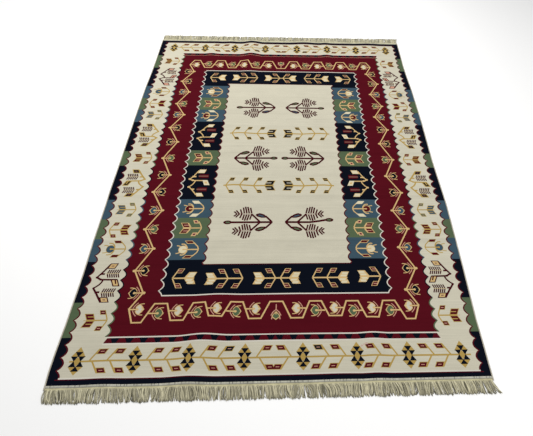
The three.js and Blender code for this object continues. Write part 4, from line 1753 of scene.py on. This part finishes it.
        points, faces, twist = tubes(line, radius * MM, self.yarn_sides)
        piece = new_piece(f"yarns_{self.end.name}", points, faces, material)
        # Each yarn's tone differs at random; the lower layer is painted darker as shade and the upper one
        # lighter
        tone_and_layer_shade = random.uniform(0.0, 1.0, count) * np.where(upper, 0.7, 0.5) + upper * 0.32
        # Painted shadow: each yarn darker over its last part and at its tip
        tip_shade = np.append(np.repeat(0.05 * ease(t * 5 - 4), self.yarn_sides), (0.0, 0.05))
        share = tone_and_layer_shade[:, None] - tip_shade
        map_twist(piece.data, twist, blend(self.dark, self.light, share.ravel()))
        return piece


@dataclass(frozen=True)
class Viewpoint:
    """Where the rug is seen from: above the floor before its near end, a little right of its middle.

    The place is in metres from the body's middle and the angles are in degrees. The focal length
    and the column in which the view's axis stands are in pixels of the photo.
    """

    place: tuple[float, float, float] = (0.078, -2.425, 2.140)
    down: float = 48.15
    turn_right: float = 4.93
    roll: float = 3.479
    photo_width: float = 533.0
    focal_pixels: float = 488.7
    axis_pixel: float = 319.3

    def build(self, lay: Lay) -> None:
        """Makes the camera and gives it to the scene.

        Args:
            lay: gives the body's middle in the frame.
        """
        data = bpy.data.cameras.new("view")
        data.sensor_width = 36.0
        data.lens = data.sensor_width * self.focal_pixels / self.photo_width
        data.shift_x = 0.5 - self.axis_pixel / self.photo_width
        down, turn, roll = (math.radians(angle) for angle in (self.down, self.turn_right, self.roll))
        ahead = Vector((math.sin(turn) * math.cos(down), math.cos(turn) * math.cos(down), -math.sin(down)))
        flat_right = Vector((math.cos(turn), -math.sin(turn), 0.0))
        right = flat_right * math.cos(roll) + flat_right.cross(ahead) * math.sin(roll)
        middle = Vector(lay.placed(np.array([CENTRE_X, BODY_LENGTH / 2, 0.0])))
        turned = Matrix((right, right.cross(ahead), -ahead)).transposed().to_4x4()
        camera = bpy.data.objects.new("view", data)
        camera.matrix_world = Matrix.Translation(middle + Vector(self.place)) @ turned
        bpy.context.scene.collection.objects.link(camera)
        bpy.context.scene.camera = camera


@dataclass
class Studio:
    """A plain white floor, a pale sky and two wide soft lights."""

    floor_half: float = 14.0
    floor_white: float = 0.93
    sky: float = 0.42
    main_power: float = 150.0
    fill_share: float = 0.35

    def build_floor(self) -> bpy.types.Object:
        """Makes the floor that the rug lies on.

        Returns:
            The floor.
        """
        material = bpy.data.materials.new("floor_white")
        material.use_nodes = True
        surface = material.node_tree.nodes["Principled BSDF"]
        surface.inputs["Base Color"].default_value = (*[self.floor_white] * 3, 1.0)
        surface.inputs["Roughness"].default_value = 0.9
        surface.inputs["Specular IOR Level"].default_value = 0.1
        corners = self.floor_half * np.array([(-1, -1, 0), (1, -1, 0), (1, 1, 0), (-1, 1, 0)])
        floor = new_piece("floor", corners, np.array([[0, 1, 2, 3]]), material)
        return floor

    def build_lights(self) -> None:
        """Makes the sky, the main light over the far end and a fainter one at the near right corner."""
        world = bpy.data.worlds.new("sky")
        bpy.context.scene.world = world
        world.use_nodes = True
        background = world.node_tree.nodes["Background"]
        background.inputs["Color"].default_value = (0.97, 0.985, 1.0, 1.0)
        background.inputs["Strength"].default_value = self.sky
        for name, place, size, power in (
                ("main", (-0.8, 1.9, 3.4), 3.2, self.main_power),
                ("fill", (1.8, -2.2, 3.2), 2.6, self.main_power * self.fill_share)):
            data = bpy.data.lights.new(name, "AREA")
            data.shape = "DISK"
            data.size = size
            data.energy = power
            data.color = (1.0, 0.985, 0.96)
            light = bpy.data.objects.new(name, data)
            light.location = place
            aim = Vector((0.0, 0.2, 0.0)) - Vector(place)
            light.rotation_euler = aim.to_track_quat("-Z", "Y").to_euler()
            bpy.context.scene.collection.objects.link(light)


def main() -> None:
    """Builds the rug in order, each piece on its body, and reports them."""
    logging.basicConfig(level=logging.INFO, format="%(name)s: %(message)s")
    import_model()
    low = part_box("rug_panel")[0]
    lay = Lay(low.x - min(SIDE_BOW_LEFT) * MM, low.y)
    Viewpoint().build(lay)
    bpy.context.scene.view_settings.view_transform = "Standard"
    weave, twist = weave_group(), twist_group()
    wool = WovenWool("dyed_wool", 0.95, 0.0, 0.3).build(weave)
    thread = Yarn("side_thread", 0.9, 0.1, 0.3, lay=3.0, plies=1.0).build(twist)
    cotton = Yarn("fringe_cotton", 0.9, 0.15, 0.5, lay=6.0, plies=2.0).build(twist)
    tape = Yarn("heading_cotton", 0.9, 0.1, 0.5, lay=3.2, plies=1.0).build(twist)
    studio = Studio()
    floor = studio.build_floor()
    studio.build_lights()

    chart = Chart()
    chart.weave()
    body = WovenBody(lay, chart).build(wool)
    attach(body, "root")
    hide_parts("rug_panel")
    log.info("woven body: %d patches, %d triangles", len(chart.patches), len(body.data.polygons))

    for right, node in ((False, "edge_binding_left"), (True, "edge_binding_right")):
        cord = SideCord(lay, right).build(thread)
        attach(cord, "root")
        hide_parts(node)
        log.info("%s: %d triangles", cord.name, len(cord.data.polygons))
    for end in (NEAR_FRINGE, FAR_FRINGE):
        fringe = Fringe(lay, end)
        for piece in (fringe.build_heading(tape), fringe.build_yarns(cotton)):
            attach(piece, "root")
            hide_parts(f"fringe_{end.name}")
            log.info("%s: %d triangles", piece.name, len(piece.data.polygons))


if __name__ == "__main__":
    main()
